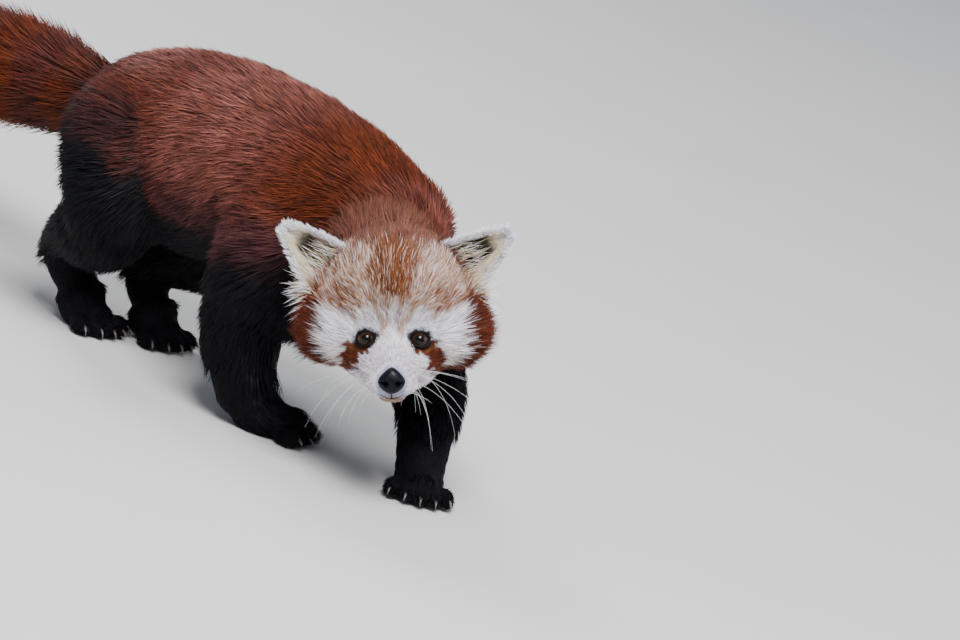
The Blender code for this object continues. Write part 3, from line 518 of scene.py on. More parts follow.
class Parts:
    """Where points lie on the animal: on which part of it, and in that part's own measures."""

    def __init__(self, points):
        self.points = points
        self.head = in_place(points, head_place())
        x, y, z = self.head.T
        shares = np.stack([x, np.maximum(y, 0.0), z], axis=1) / np.array(HEAD_REACH)
        self.on_head = step(1.10, 0.96, np.linalg.norm(shares, axis=1))
        self.on_tail = step(TAIL_START - 0.015, TAIL_START + 0.015, points[:, 1])
        self.ear, self.ear_side = self.ear_measures()
        across, depth, along = self.ear.T
        self.from_sheet = depth - ear_depth(np.clip(across, -1.05, 1.05), along)
        near = np.abs(self.from_sheet) < 0.0038 + 0.003 * step(0.6, 1.0, along)
        inside = (np.abs(across) - 1) * ear_width(along) < 0.0035
        tip = np.array([0.0, ear_depth(0.0, 1.0), EAR_LENGTH])
        place = self.ear * np.stack([ear_width(along), np.ones(len(x)), np.full(len(x), EAR_LENGTH)], axis=1)
        at_tip = np.linalg.norm(place - tip, axis=1) < 0.014
        self.on_ear = (near & inside & (along > 0.04) & (along < 1.12)) | at_tip
        self.leg, self.leg_along, self.leg_way = self.leg_measures()

    def ear_measures(self):
        """Share of the width and depth in the nearer ear, share of its length, and which ear it is."""
        sign = np.where(self.head[:, 0] > 0, 1.0, -1.0)
        left = in_place(self.head, ear_place("left"))
        right = in_place(self.head, ear_place("right"))
        local = np.where(sign[:, None] > 0, left, right)
        along = local[:, 2] / EAR_LENGTH
        across = local[:, 0] * sign / ear_width(along)
        return np.stack([across, local[:, 1], along], axis=1), sign

    def leg_measures(self):
        """How near a point is to a leg, how far down it lies from 0 to the toes, and the leg's way there."""
        best = np.full(len(self.points), 9.0)
        along = np.zeros(len(self.points))
        way = np.tile(np.array([0.0, 0.0, -1.0]), (len(self.points), 1))
        for name, joints in LEGS.items():
            line = [(Vector(centre), radius) for centre, radius in joints]
            line.append((Vector(PAWS[name][0]), PALM_RADII[0]))
            line.append((paw_place(name) @ Vector((0.0, -0.016, -0.004)), PALM_RADII[0]))
            for number, ((start, first), (end, second)) in enumerate(zip(line, line[1:])):
                axis = np.array(end - start)
                share = np.clip((self.points - np.array(start)) @ axis / (axis @ axis), 0.0, 1.0)
                away = np.linalg.norm(self.points - (np.array(start) + share[:, None] * axis), axis=1)
                ratio = away / (first + (second - first) * share)
                nearer = ratio < best
                best = np.where(nearer, ratio, best)
                along = np.where(nearer, (number + share) / (len(line) - 1), along)
                way = np.where(nearer[:, None], unit(axis), way)
        return best, along, way

    def ear_front(self):
        """1 on an ear's hollow front, 0 on its back."""
        return step(0.0002, -0.0008, self.from_sheet)


def out_of_ears(parts, ways):
    """Ways in the ears' axes, with across counted outwards, as ways in the animal's axes."""
    ways = ways * np.stack([parts.ear_side, np.ones(len(ways)), np.ones(len(ways))], axis=1)
    left = turned(turned(ways, ear_place("left")), head_place())
    right = turned(turned(ways, ear_place("right")), head_place())
    return np.where(parts.ear_side[:, None] > 0, left, right)


def coat_lie(parts, normals):
    """The way the coat lies at each point, along the skin."""
    x, _, z = parts.points.T
    lift = np.clip(normals[:, 2], 0.0, 1.0)
    way = unit(np.stack([0.18 * x / TRUNK_WIDTH, np.ones(len(x)), -0.70 * (1.0 - lift)], axis=1))
    leg_way = unit(parts.leg_way + np.array([0.0, 0.30, -0.15]))
    leg_way = mixed(leg_way, unit(parts.leg_way), step(0.70, 0.85, parts.leg_along))
    way = mixed(way, leg_way, step(1.5, 1.15, parts.leg) * step(0.150, 0.110, z))
    way = mixed(way, unit(np.array([0.07, 1.0, -0.16])), parts.on_tail)
    outward = parts.head - np.array(NOSE_CENTRE) * np.array([1.0, 0.9, 1.0])
    outward[:, 1] += 0.018
    side = np.abs(parts.head[:, 0])
    low = step(0.03, -0.01, parts.head[:, 2])
    outward[:, 0] *= 1.0 + 0.25 * low
    outward[:, 2] -= 0.010 * step(0.035, 0.060, side) * low
    way = mixed(way, turned(unit(outward), head_place()), parts.on_head)
    across = parts.ear[:, 0]
    ones = np.ones(len(x))
    ear_way = np.stack([0.45 * np.clip(across, -1, 1), -0.10 * ones, 0.95 * ones], axis=1)
    return mixed(way, unit(out_of_ears(parts, ear_way)), parts.on_ear.astype(float))


def border_height(y):
    """Height where the rust of the back gives way to the black of belly and legs, along the body."""
    places = (-0.170, -0.100, -0.060, 0.000, 0.045, 0.070, 0.100, 0.150, 0.200)
    heights = (0.158, 0.150, 0.145, 0.142, 0.142, 0.157, 0.171, 0.186, 0.192)
    return np.interp(y, places, heights)


def tail_colours(points):
    """Rings of copper and plum along the tail, darker above, with a black tip."""
    y, z = points.T[1:]
    start, end = TAIL_LINE[0][1], TAIL_LINE[-1][1]
    along = (y - start) / (end - start)
    turns = along * TAIL_RINGS + 0.05 * lumps(points, 0.06, 6.0)
    ring = step(0.35, 0.80, 0.5 + 0.5 * np.cos(2 * math.pi * turns))
    colour = mixed(mixed(COPPER, MAHOGANY, 0.55), mixed(MAHOGANY, PLUM, 0.55), 0.90 * ring)
    colour = mixed(colour, mixed(MAHOGANY, PLUM, 0.4), 0.5 * step(0.175, 0.205, z))
    return mixed(colour, BLACK, step(0.93, 1.0, along) * 0.8)


def body_colours(parts):
    """Rust above with plum areas, a painted pinkish sheen and painted copper highlights, black on belly and
    legs, and the tail's rings.
    """
    points = parts.points
    y, z = points.T[1:]
    off_tail = 1 - parts.on_tail
    # Painted sheen over the upper flanks, the top of the rump and the neck
    rose_sheen = hump(0.010, 0.125, y) * step(0.140, 0.185, z)
    rose_sheen = np.maximum(rose_sheen, step(0.05, 0.12, y) * step(0.215, 0.240, z))
    rose_sheen = np.maximum(rose_sheen, 0.45 * step(-0.138, -0.165, y))
    colour = mixed(MAHOGANY, ROSE_SHEEN, 0.85 * rose_sheen * (0.65 + 0.35 * lumps(points, 0.060, 2.0)))
    # Painted copper highlights on the shoulder's top and on the rear flank
    copper = 0.60 * hump(-0.108, 0.060, y) * step(0.165, 0.190, z)
    copper = np.maximum(copper, 0.30 * hump(0.095, 0.040, y) * step(0.225, 0.205, z))
    colour = mixed(colour, COPPER, copper * (0.55 + 0.45 * lumps(points, 0.045, 1.0)))
    shade = 1.0 - 0.88 * step(0.072, 0.104, y) * step(0.222, 0.190, z) * off_tail
    colour = colour * (shade * (0.82 + 0.36 * lumps(points, 0.035, 8.0)))[:, None]
    border = border_height(y) + 0.008 * (lumps(points, 0.040, 3.0) - 0.5)
    near_border = (0.9 - 0.4 * step(0.03, 0.08, y)) * step(border + 0.052, border + 0.016, z)
    colour = mixed(colour, PLUM, np.maximum(step(0.138, 0.170, y) * off_tail * 0.5, near_border))
    colour = mixed(colour, BLACK, step(border + 0.012, border - 0.008, z) * off_tail)
    return mixed(colour, tail_colours(points), parts.on_tail)


# Markings on the face, sideways and upwards in the head's own axes: a line, and ovals by middle and reach
TEAR_LINE = ((0.0235, -0.0285), (0.0275, -0.0280), (0.0292, -0.0345), (0.0285, -0.0420))
CROWN_PATCH = ((0.0, 0.026), (0.017, 0.022))
TEMPLE_PATCH = ((0.0365, 0.0050), (0.0100, 0.0110))
BROW_PATCH = ((0.0160, -0.0095), (0.0115, 0.0100))
EYE_CORNER_PATCH = ((EYE_SIDE - 0.0082, EYE_HEIGHT + 0.0018), (0.0034, 0.0040))


class Face:
    """Where points lie on the face, in the head's own axes, alike on its two sides."""

    def __init__(self, parts):
        x, self.y, self.z = parts.head.T
        self.side = np.abs(x)
        self.waver = (lumps(parts.points, 0.011, 1.5) - 0.5) * 0.005
        self.front = step(0.012, -0.006, self.y)
        self.mottle = (0.82 + 0.18 * lumps(parts.points, 0.0045, 2.2))[:, None]
        self.blotch = lumps(parts.points, 0.020, 5.0)


def crown_marks(face):
    """The ginger forehead with white hairs, browner on the crown and temples, and redder behind, with a
    painted sheen on top and behind.
    """
    side, y, z = face.side, face.y, face.z
    # On top, mahogany with a painted mauve sheen and copper blotches; behind, mahogany with a little painted
    # pinkish sheen
    nape = mixed(mixed(MAUVE_SHEEN, MAHOGANY, 0.30), COPPER, 0.35 * face.blotch)
    colour = mixed(mixed(GINGER, BEIGE, 0.18), nape, 0.85 * step(0.034, 0.050, z) * step(0.026, 0.004, y))
    colour = mixed(colour, mixed(ROSE_SHEEN, MAHOGANY, 0.80), step(-0.004, 0.024, y + face.waver))
    crown = patch(side, z, CROWN_PATCH)
    colour = mixed(colour, mixed(GINGER, MAHOGANY, 0.40), crown)
    brown = 0.65 * patch(side, z + face.waver, TEMPLE_PATCH)
    colour = mixed(colour, mixed(GINGER, MAHOGANY, 0.25), brown)
    forehead = step(0.052, 0.034, z) * face.front
    return colour, forehead * (0.12 + 0.36 * (1 - crown)) * (1 - 0.75 * brown)


def white_marks(face, colour, pale):
    """White cheeks, brow spots, line down the middle and muzzle."""
    side, z, front = face.side, face.z, face.front
    cheek_top = 0.38 * (side - 0.030) - 0.0085
    cheek = step(-0.003, 0.003, cheek_top - z + face.waver) * step(0.018, 0.023, side)
    cheek = cheek * step(0.020, 0.004, face.y)
    brow = patch(side, z + face.waver, BROW_PATCH) * front
    line = step(0.0040, 0.0010, side) * step(0.006, -0.006, z) * front
    muzzle = step(0.032, 0.026, side + face.waver) * step(-0.014, -0.024, z + 0.6 * (side - 0.010)) * front
    creamy = mixed(WHITE, CREAM, 0.35 * step(-0.024, -0.040, z)) * face.mottle
    colour = mixed(colour, creamy, cheek)
    colour = mixed(colour, WHITE * face.mottle, np.maximum(np.maximum(brow, line), muzzle))
    colour = mixed(colour, LAVENDER * face.mottle, muzzle * step(-0.030, -0.040, z))
    return colour, np.maximum(pale, np.maximum(np.maximum(cheek, muzzle), np.maximum(brow, line)))


def line_marks(face, colour, pale):
    """Two faint stripes up from the nose, and the dark line that runs down from each eye."""
    side, z = face.side, face.z
    stripe_middle = 0.0056 + 0.40 * np.clip(z + 0.018, 0.0, 0.03)
    stripe = step(0.0038, 0.0012, np.abs(side - stripe_middle)) * face.front
    stripe *= step(-0.025, -0.020, z) * step(0.008, -0.002, z)
    colour = mixed(colour, mixed(GINGER, BEIGE, 0.55), 0.85 * stripe)
    tear = step(0.0082, 0.0058, from_line(side, z, TEAR_LINE) + face.waver) * face.front
    return mixed(colour, TEAR, tear), pale * (1 - tear) * (1 - 0.8 * stripe)


def ruff_marks(face, colour, pale):
    """The rusty ruff round the cheeks, and the paler temples above it."""
    side, y, z = face.side, face.y, face.z
    ruff = np.maximum(step(0.045, 0.051, side + face.waver), step(0.004, 0.014, y)) * step(0.013, 0.004, z)
    cheek_low = 0.82 * (side - 0.037) - 0.0390
    under = step(0.0, -0.004, z - cheek_low) * step(0.026, 0.032, side)
    edge = np.maximum(ruff, under)
    colour = mixed(colour, mixed(MAHOGANY, TEAR, 0.5), edge)
    temple = step(0.044, 0.052, side) * hump(0.022, 0.020, z) * step(0.03, 0.0, y)
    colour = mixed(colour, mixed(BEIGE, GINGER, 0.55), 0.80 * temple)
    return colour, np.maximum(pale, 0.45 * temple) * (1 - edge)


def rim_marks(face, colour, pale):
    """Sandy lips, the dark rim and inner corner of each eye, and the black throat."""
    side, y, z = face.side, face.y, face.z
    lips = step(-0.0650, -0.0675, z + 0.1 * side) * step(0.030, 0.022, side) * step(-0.030, -0.045, y)
    colour = mixed(colour, mixed(BEIGE, GINGER, 0.35) * face.mottle * 0.80, 0.9 * lips)
    eye = np.hypot((side - EYE_SIDE) / 1.12, z - EYE_HEIGHT)
    lower_rim = hump(0.0112, 0.0024, eye) * step(-0.0235, -0.0285, z) * step(0.016, 0.023, side)
    colour = mixed(colour, mixed(GINGER, TEAR, 0.4), 0.80 * lower_rim * face.front)
    ring = step(0.0089, 0.0080, eye) * face.front
    dark = np.maximum(ring, 0.85 * patch(side, z, EYE_CORNER_PATCH) * face.front)
    colour = mixed(colour, RIM_DARK, dark)
    throat = step(-0.060, -0.072, z) * step(-0.040, -0.026, y)
    throat = np.maximum(throat, step(0.012, 0.030, y) * step(-0.010, -0.030, z))
    return mixed(colour, BLACK, throat), pale * (1 - lips) * (1 - throat) * (1 - dark)


def face_colours(parts):
    """Each root's colour on the head, and the share of white hairs mixed in."""
    face = Face(parts)
    colour, pale = crown_marks(face)
    for marks in (white_marks, line_marks, ruff_marks, rim_marks):
        colour, pale = marks(face, colour, pale)
    return colour, pale


def ear_colours(parts):
    """White rim and back, cream round the dark hollow in front."""
    across, _, along = parts.ear.T
    rim = np.maximum(step(0.72, 0.95, np.abs(across)), step(0.80, 0.95, along))
    rim = np.maximum(rim, 0.9 * (1 - parts.ear_front()))
    colour = mixed(mixed(CREAM, WHITE, 0.25), WHITE, rim)
    hollow = step(0.72, 0.50, np.abs(across + 0.20)) * step(0.82, 0.64, along)
    return mixed(colour, EAR_DARK, hollow * parts.ear_front())


def coat_colours(parts):
    colour = mixed(body_colours(parts), face_colours(parts)[0], parts.on_head)
    return mixed(colour, ear_colours(parts), parts.on_ear.astype(float))


# The coat
def read(items, name, width, kind=float):
    """One measure of a mesh's items, in a row for each."""
    values = np.empty(len(items) * width, kind)
    items.foreach_get(name, values)
    return values.reshape(-1, width)


def write_colours(mesh, colours):
    """The coat's colour at each of the mesh's points, which the materials read."""
    full = np.concatenate([colours, np.ones((len(colours), 1))], axis=1)
    layer = mesh.attributes.new("coat_colour", "FLOAT_COLOR", "POINT")
    layer.data.foreach_set("color", full.astype(np.float32).ravel())


class Skin:
    """The skin's triangles, with the fields that its coat grows by."""

    def __init__(self, piece):
        mesh = piece.data
        mesh.calc_loop_triangles()
        self.points = read(mesh.vertices, "co", 3)
        self.normals = read(mesh.vertex_normals, "vector", 3)
        self.faces = read(mesh.loop_triangles, "vertices", 3, int)
        self.edges = read(mesh.edges, "vertices", 2, int)
        loops = read(mesh.loop_triangles, "loops", 3, int)
        self.uv = read(mesh.uv_layers["OFBake"].uv, "vector", 2)[loops]
        corners = self.points[self.faces]
        across = np.cross(corners[:, 1] - corners[:, 0], corners[:, 2] - corners[:, 0])
        self.areas = np.linalg.norm(across, axis=1) / 2
        self.parts = Parts(self.points)
        self.face_parts = Parts(corners.mean(axis=1))
        self.lie = self.smoothed(coat_lie(self.parts, self.normals), 6)

    def smoothed(self, values, rounds):
        """Directions at the vertices, evened out along the edges."""
        start, end = self.edges.T
        for _ in range(rounds):
            total = np.zeros_like(values)
            np.add.at(total, start, values[end])
            np.add.at(total, end, values[start])
            values = unit(values + 1.5 * unit(total))
        return values

    def roots(self, count, density):
        """Roots spread over the skin: place, normal, lie and place on the unwrap."""
        weights = self.areas * density
        chosen = rng.choice(len(weights), size=count, p=weights / weights.sum())
        first, second = np.sort(rng.random((2, count)), axis=0)
        shares = np.stack([first, second - first, 1 - second], axis=1)[..., None]
        corners = self.faces[chosen]
        fields = (self.points[corners], self.normals[corners], self.lie[corners], self.uv[chosen])
        place, normal, lie, uv = ((field * shares).sum(axis=1) for field in fields)
        return place, unit(normal), lie, uv


def clumps(place, size):
    """From each root to the middle of its clump, among jittered cells, and the clump's number from 0 to 1."""
    cell = np.floor(place / size).astype(np.int64)
    best = np.full(len(place), 1e9)
    pull = np.zeros_like(place)
    chance = np.zeros(len(place))
    for offset in itertools.product((-1, 0, 1), repeat=3):
        near = cell + np.array(offset)
        key = (near @ np.array([73856093, 19349663, 83492791])).astype(float)
        waves = np.abs(np.sin(key[:, None] * np.array([0.731, 1.317, 2.113]))) * 43758.5453
        jitter = waves - np.floor(waves)
        middle = (near + jitter) * size
        away = np.linalg.norm(middle - place, axis=1)
        nearer = away < best
        best = np.where(nearer, away, best)
        pull = np.where(nearer[:, None], middle - place, pull)
        chance = np.where(nearer, jitter[:, 0], chance)
    return pull, chance


# How a blade is cut along its length, from root to tip, and its width at each cut
LONG_BLADE = ((0.0, 0.34, 0.70, 1.0), (0.80, 1.00, 0.74))
SHORT_BLADE = ((0.0, 0.45, 1.0), (0.90, 1.00))
ROOT_DEPTH = 0.0012
LIE_SPREAD = 0.10
BLADE_ROLL = 0.55
OFBAKE_PATCH = 0.003


def blade_mesh(name, verts, cuts, colour, uv):
    """A mesh of many equal blades, given their points, with colours and places on the unwrap."""
    count, corners, _ = verts.shape
    quads = [[2 * n, 2 * n + 1, 2 * n + 3, 2 * n + 2] for n in range(len(cuts) - 2)]
    order = np.array([corner for quad in quads for corner in quad] + [corners - 3, corners - 2, corners - 1])
    loops = (np.arange(count)[:, None] * corners + order).ravel()
    starts = np.arange(len(quads) + 1) * 4
    starts = (np.arange(count)[:, None] * len(order) + starts).ravel()
    mesh = bpy.data.meshes.new(name)
    mesh.vertices.add(count * corners)
    mesh.vertices.foreach_set("co", verts.ravel())
    mesh.loops.add(len(loops))
    mesh.loops.foreach_set("vertex_index", loops)
    mesh.polygons.add(len(starts))
    mesh.polygons.foreach_set("loop_start", starts)
    mesh.update(calc_edges=True)
    mesh.polygons.foreach_set("use_smooth", np.ones(len(starts), bool))
    write_colours(mesh, np.clip(colour, *COLOUR_LIMITS).reshape(-1, 3))
    layer = mesh.uv_layers.new(name="OFBake")
    spots = [(end, share) for share in cuts[:-1] for end in (-0.5, 0.5)] + [(0.0, 1.0)]
    spots = uv[:, None] + (np.array(spots) - np.array([0.0, 0.5])) * OFBAKE_PATCH
    layer.uv.foreach_set("vector", spots.reshape(-1, 2)[loops].astype(np.float32).ravel())
    piece = bpy.data.objects.new(name, mesh)
    bpy.context.scene.collection.objects.link(piece)
    return piece


def flattened(ways, normal):
    """Ways with what stands out of the skin taken off."""
    return ways - normal * (ways * normal).sum(axis=1, keepdims=True)


def swirled(lie, place, normal, swirl):
    """The lie with soft swirls in it, and each blade a little off its neighbours."""
    turns = 0.30 * (lumps(place, 0.045, 7.0) - 0.5) + 0.22 * (lumps(place, 0.017, 9.0) - 0.5)
    turns = turns * swirl + rng.normal(0.0, LIE_SPREAD, len(place))
    return unit(lie + np.cross(lie, normal) * turns[:, None])


def blade_points(place, normal, lie, pull, chance, blade, look):
    """The points of each blade, in pairs from its root on, with one at its tip."""
    cuts, widths = blade
    count = len(place)
    length, width, lift, settle, clump = (
        np.broadcast_to(look[measure], count) for measure in ("length", "width", "lift", "settle", "clump")
    )
    length = length * rng.uniform(0.75, 1.15, count) * (0.88 + 0.24 * chance)
    lift = lift * rng.uniform(0.75, 1.3, count)
    spine = place - normal * ROOT_DEPTH
    centres = [spine]
    for before, share in zip(cuts, cuts[1:]):
        middle = (share + before) / 2
        angle = (lift * (1 - middle) + settle * middle)[:, None]
        way = lie * np.cos(angle) + normal * np.sin(angle)
        spine = spine + way * (length * (share - before))[:, None]
        centres.append(spine + pull * (clump * share**1.4)[:, None])
    roll = rng.normal(0.0, BLADE_ROLL, (count, 1))
    flat = unit(np.cross(lie, normal) * np.cos(roll) + normal * np.sin(roll)) * (width / 2)[:, None]
    points = [centre + end * flat * share for centre, share in zip(centres, widths) for end in (-1, 1)]
    points = np.stack(points + [centres[-1]], axis=1)
    points[..., 2] = np.maximum(points[..., 2], FLOOR_GAP)
    return points


def tufts(name, roots, blade, look):
    """One piece of coat: a flat tapered blade at each root, bent along the lie."""
    place, normal, lie, uv = roots
    cuts = blade[0]
    lie = swirled(unit(flattened(look.get("lie", lie), normal)), place, normal, look.get("swirl", 1.0))
    pull, chance = clumps(place, look["clump_size"])
    points = blade_points(place, normal, lie, flattened(pull, normal), chance, blade, look)
    shares = np.append(np.repeat(cuts[:-1], 2), 1.0)
    ramp = step(0.30, 0.95, shares)[None, :, None]
    root_shade = np.broadcast_to(look["root_shade"], len(place))[:, None, None]
    shade = root_shade + (1 - root_shade) * step(0.0, 0.65, shares)[None, :, None]
    vary = rng.lognormal(0.0, 0.18, len(place)) * np.exp(look.get("clump_tint", 0.30) * (chance - 0.5))
    colour = (look["tint"][:, None] * (1 - ramp) + look["tips"][:, None] * ramp) * shade * vary[:, None, None]
    return blade_mesh(name, points, cuts, colour, uv)


def grow(skin, name, count, blade, density, look):
    """A piece of coat on the faces that the density picks. look gives its blades' measures at each root."""
    roots = skin.roots(count, density)
    return tufts(name, roots, blade, look(Parts(roots[0])))


def body_look(length, width, lift, settle, clump, clump_size, root_shade=0.40):
    """The blades' measures where they are the same all over a piece of coat."""

    def look(parts):
        count = len(parts.points)
        tint = coat_colours(parts)
        bright = rng.random(count) < 0.20
        dark = rng.random(count) < 0.14
        x, y, z = parts.points.T
        chest = hump(-0.085, 0.060, y) * step(0.125, 0.100, z) * step(0.060, 0.030, np.abs(x + 0.014))
        tint = tint * np.where(dark, 0.42, 1.0)[:, None]
        return {
            "length": length * (1 + 0.6 * chest),
            "width": width,
            "lift": math.radians(lift) * (1 + 0.8 * chest),
            "settle": math.radians(settle),
            "clump": clump,
            "clump_size": clump_size,
            "root_shade": root_shade,
            "tint": tint,
            "tips": tint * np.where(bright, 1.9, 1.25)[:, None],
        }

    return look


def tail_look(parts):
    """The blades' measures on the tail, which stand out more and more from its root on."""
    look = body_look(0.048, 0.0010, 42, 24, 0.34, 0.0090)(parts)
    grown = step(TAIL_START - 0.02, TAIL_START + 0.07, parts.points[:, 1])
    look["length"] *= 0.72 + 0.28 * grown
    look["lift"] *= 0.70 + 0.30 * grown
    look["settle"] *= 0.60 + 0.40 * grown
    return look


# Length of the hair by its distance from the nose
FACE_DISTANCES = (0.012, 0.022, 0.040, 0.058, 0.080, 0.110)
FACE_LENGTHS = (0.0030, 0.0048, 0.0075, 0.0102, 0.0132, 0.0175)


def face_hair_colours(parts, far):
    """The colour of each hair on the face and of its tip: mixed with white, ticked and speckled."""
    y, z = parts.head.T[1:]
    count = len(y)
    colour, pale = face_colours(parts)
    white = (rng.random(count) < pale)[:, None]
    ticks = mixed(BEIGE, WHITE, rng.random(count) ** np.where(z > -0.005, 1.1, 0.6))
    tint = np.where(white, np.maximum(colour, mixed(colour, ticks, 0.35)), colour)
    tips = np.where(white, ticks, tint) * rng.choice([1.0, 1.2, 1.5], size=(count, 1))
    dark = (rng.random(count) < 0.16) & (z > -0.012) & (colour.mean(axis=1) < 0.3)
    dark = dark[:, None] & ~white
    specks = ((rng.random(count) < 0.16) & (far > 0.014) & (far < 0.034) & (y < -0.04))[:, None]
    tint = tint * np.where(dark, 0.35, 1.0) * np.where(specks, 0.22, 1.0)
    return tint, tips * np.where(dark, 0.40, 1.0) * np.where(specks, 0.30, 1.0)


def face_look(parts):
    """Short and fine on the muzzle, longer on forehead and cheeks, longest at the ruff."""
    x, y, z = parts.head.T
    side = np.abs(x)
    far = np.linalg.norm(parts.head - np.array(NOSE_CENTRE), axis=1)
    length = np.interp(far, FACE_DISTANCES, FACE_LENGTHS)
    length += 0.008 * step(0.034, 0.050, side) * step(0.025, 0.0, z) * rng.uniform(0.3, 1.3, len(x))
    length += 0.004 * hump(0.023, 0.011, side) * step(-0.034, -0.044, z) * (y < -0.03)
    eye = np.hypot(side - EYE_SIDE, z - EYE_HEIGHT)
    length *= 0.32 + 0.68 * step(0.008, 0.022, eye)
    mouth = np.abs(z - MOUTH_HEIGHT) + 0.4 * side + 1.0 * (y > -0.045)
    length = np.maximum(length * (0.30 + 0.70 * step(0.003, 0.011, mouth)), 0.0022)
    tint, tips = face_hair_colours(parts, far)
    short = np.interp(length, [0.005, 0.014], [1.0, 0.0])
    return {
        "length": length,
        "width": np.interp(length, [0.003, 0.022], [0.00038, 0.00048]),
        "lift": np.radians(30.0 + 10.0 * short),
        "settle": np.radians(10.0 + 14.0 * short),
        "clump": np.interp(length, [0.004, 0.025], [0.18, 0.34]),
        "clump_size": 0.0032,
        "clump_tint": 0.35,
        "swirl": 1.8,
        "root_shade": np.interp(tint.mean(axis=1), [0.1, 0.6], [0.40, 0.55]),
        "tint": tint,
        "tips": tips,
    }


def ear_look(parts):
    """Dense short pile on the ear, a little longer round its rim."""
    across, _, along = parts.ear.T
    rim = np.maximum(step(0.65, 0.95, np.abs(across)), step(0.80, 0.98, along))
    tint = coat_colours(parts)
    return {
        "length": 0.0050 + 0.0032 * rim,
        "width": 0.00050,
        "lift": np.radians(24.0 + 8.0 * rim),
        "settle": math.radians(9.0),
        "clump": 0.40,
        "clump_size": 0.0042,
        "clump_tint": 0.40,
        "root_shade": 0.55,
        "tint": tint,
        "tips": mixed(tint * 1.15, WHITE, 0.30 * (tint.mean(axis=1) > 0.2)),
    }


def ear_hair_look(parts):
    """Long pale hairs that start along the inner and lower rim and lie across the hollow."""
    count = len(parts.points)
    aside, back = rng.uniform(-0.1, 0.5, count), np.full(count, -0.25)
    ways = np.stack([aside, back, rng.uniform(0.6, 1.0, count)], axis=1)
    tint = mixed(CREAM, WHITE, rng.random(count))
    return {
        "lie": out_of_ears(parts, ways),
        "length": rng.uniform(0.011, 0.025, count),
        "width": 0.00036,
        "lift": math.radians(34.0),
        "settle": math.radians(10.0),
        "clump": 0.45,
        "clump_size": 0.0040,
        "root_shade": 0.8,
        "tint": tint,
        "tips": tint * 1.1,
    }


def ear_tuft_look(parts):
    """The long white tuft under each ear's lower corner, swept outwards."""
    count = len(parts.points)
    side = parts.head[:, 0]
    ways = np.stack([np.sign(side), np.full(count, 0.55), np.full(count, -0.40)], axis=1)
    return {
        "lie": turned(ways, head_place()),
        "length": rng.uniform(0.016, 0.030, count),
        "width": 0.00055,
        "lift": math.radians(24.0),
        "settle": math.radians(8.0),
        "clump": 0.60,
        "clump_size": 0.0065,
        "root_shade": 0.8,
        "tint": mixed(CREAM, WHITE, step(0.060, 0.078, np.abs(side))),
        "tips": np.tile(WHITE, (count, 1)),
    }


def clear_of_eyes(parts):
    """0 over the eyes and on the nose, where nothing grows, and 1 elsewhere."""
    x, y, z = parts.head.T
    eye = np.hypot(np.abs(x) - EYE_SIDE, z - EYE_HEIGHT)
    nose = np.linalg.norm((parts.head - np.array(NOSE_CENTRE)) / np.array(NOSE_RADII), axis=1)
    return (1 - step(-0.02, -0.03, y) * step(0.0074, 0.0066, eye)) * step(1.02, 1.10, nose)


def coat_areas(parts):
    """The share of each face of the skin that each piece of coat grows from."""
    y, z = parts.points.T[1:]
    ear = parts.on_ear
    head = (parts.on_head > 0.5) & ~ear
    rest = ~ear & ~head
    tail = rest & (parts.on_tail > 0.5)
    rest &= ~tail
    paw = rest & (z < 0.050)
    leg = rest & ~paw & (parts.leg < 1.4) & (z < 0.120)
    trunk = rest & ~paw & ~leg
    far = np.linalg.norm(parts.head - np.array(NOSE_CENTRE), axis=1)
    dense = np.interp(far, (0.014, 0.022, 0.045, 0.080, 0.120), (8.0, 4.5, 2.2, 1.2, 0.8))
    across, _, along = parts.ear.T
    side, back, height = parts.head.T
    side = np.abs(side)
    tuft = (side > 0.056) & (side < 0.078) & (np.abs(back - 0.020) < 0.025) & (np.abs(height - 0.012) < 0.009)
    return {
        "head": head * dense * clear_of_eyes(parts),
        "ears": ear,
        "ear_hairs": ear & (parts.ear_front() > 0.5) & (along < 0.40) & (across > -0.85),
        "ear_tufts": tuft,
        "shoulders": trunk & (y < -0.045),
        "back": trunk & (y >= -0.045) & (y < 0.060),
        "rump": trunk & (y >= 0.060),
        "tail": tail,
        "legs": leg,
        "paws": paw & (z > 0.003),
    }


def grow_coat(skin):
    """All pieces of the coat."""
    area = coat_areas(skin.face_parts)
    trunk = body_look(0.026, 0.00078, 24, 6, 0.32, 0.0052)
    leg = body_look(0.019, 0.00080, 22, 5, 0.30, 0.0060, 0.6)
    paw = body_look(0.0080, 0.00060, 18, 3, 0.20, 0.0045, 0.6)
    pieces = (
        ("face", 60000, SHORT_BLADE, "head", face_look),
        ("face_under", 60000, SHORT_BLADE, "head", face_look),
        ("ears", 20000, LONG_BLADE, "ears", ear_look),
        ("ear_hairs", 480, LONG_BLADE, "ear_hairs", ear_hair_look),
        ("ear_tufts", 700, LONG_BLADE, "ear_tufts", ear_tuft_look),
        ("shoulders", 36000, LONG_BLADE, "shoulders", trunk),
        ("back", 36000, LONG_BLADE, "back", trunk),
        ("rump", 36000, LONG_BLADE, "rump", trunk),
        ("tail", 36000, LONG_BLADE, "tail", tail_look),
        ("legs", 34000, LONG_BLADE, "legs", leg),
        ("paws", 25000, SHORT_BLADE, "paws", paw),
    )
    grown = []
    for name, count, blade, place, look in pieces:
        grown.append(grow(skin, f"coat_{name}", count, blade, area[place], look))
    return grown


# Materials
def set_inputs(node, values):
    """Fixed values on a node's own sockets."""
    for name, value in values.items():
        node.inputs[name].default_value = value


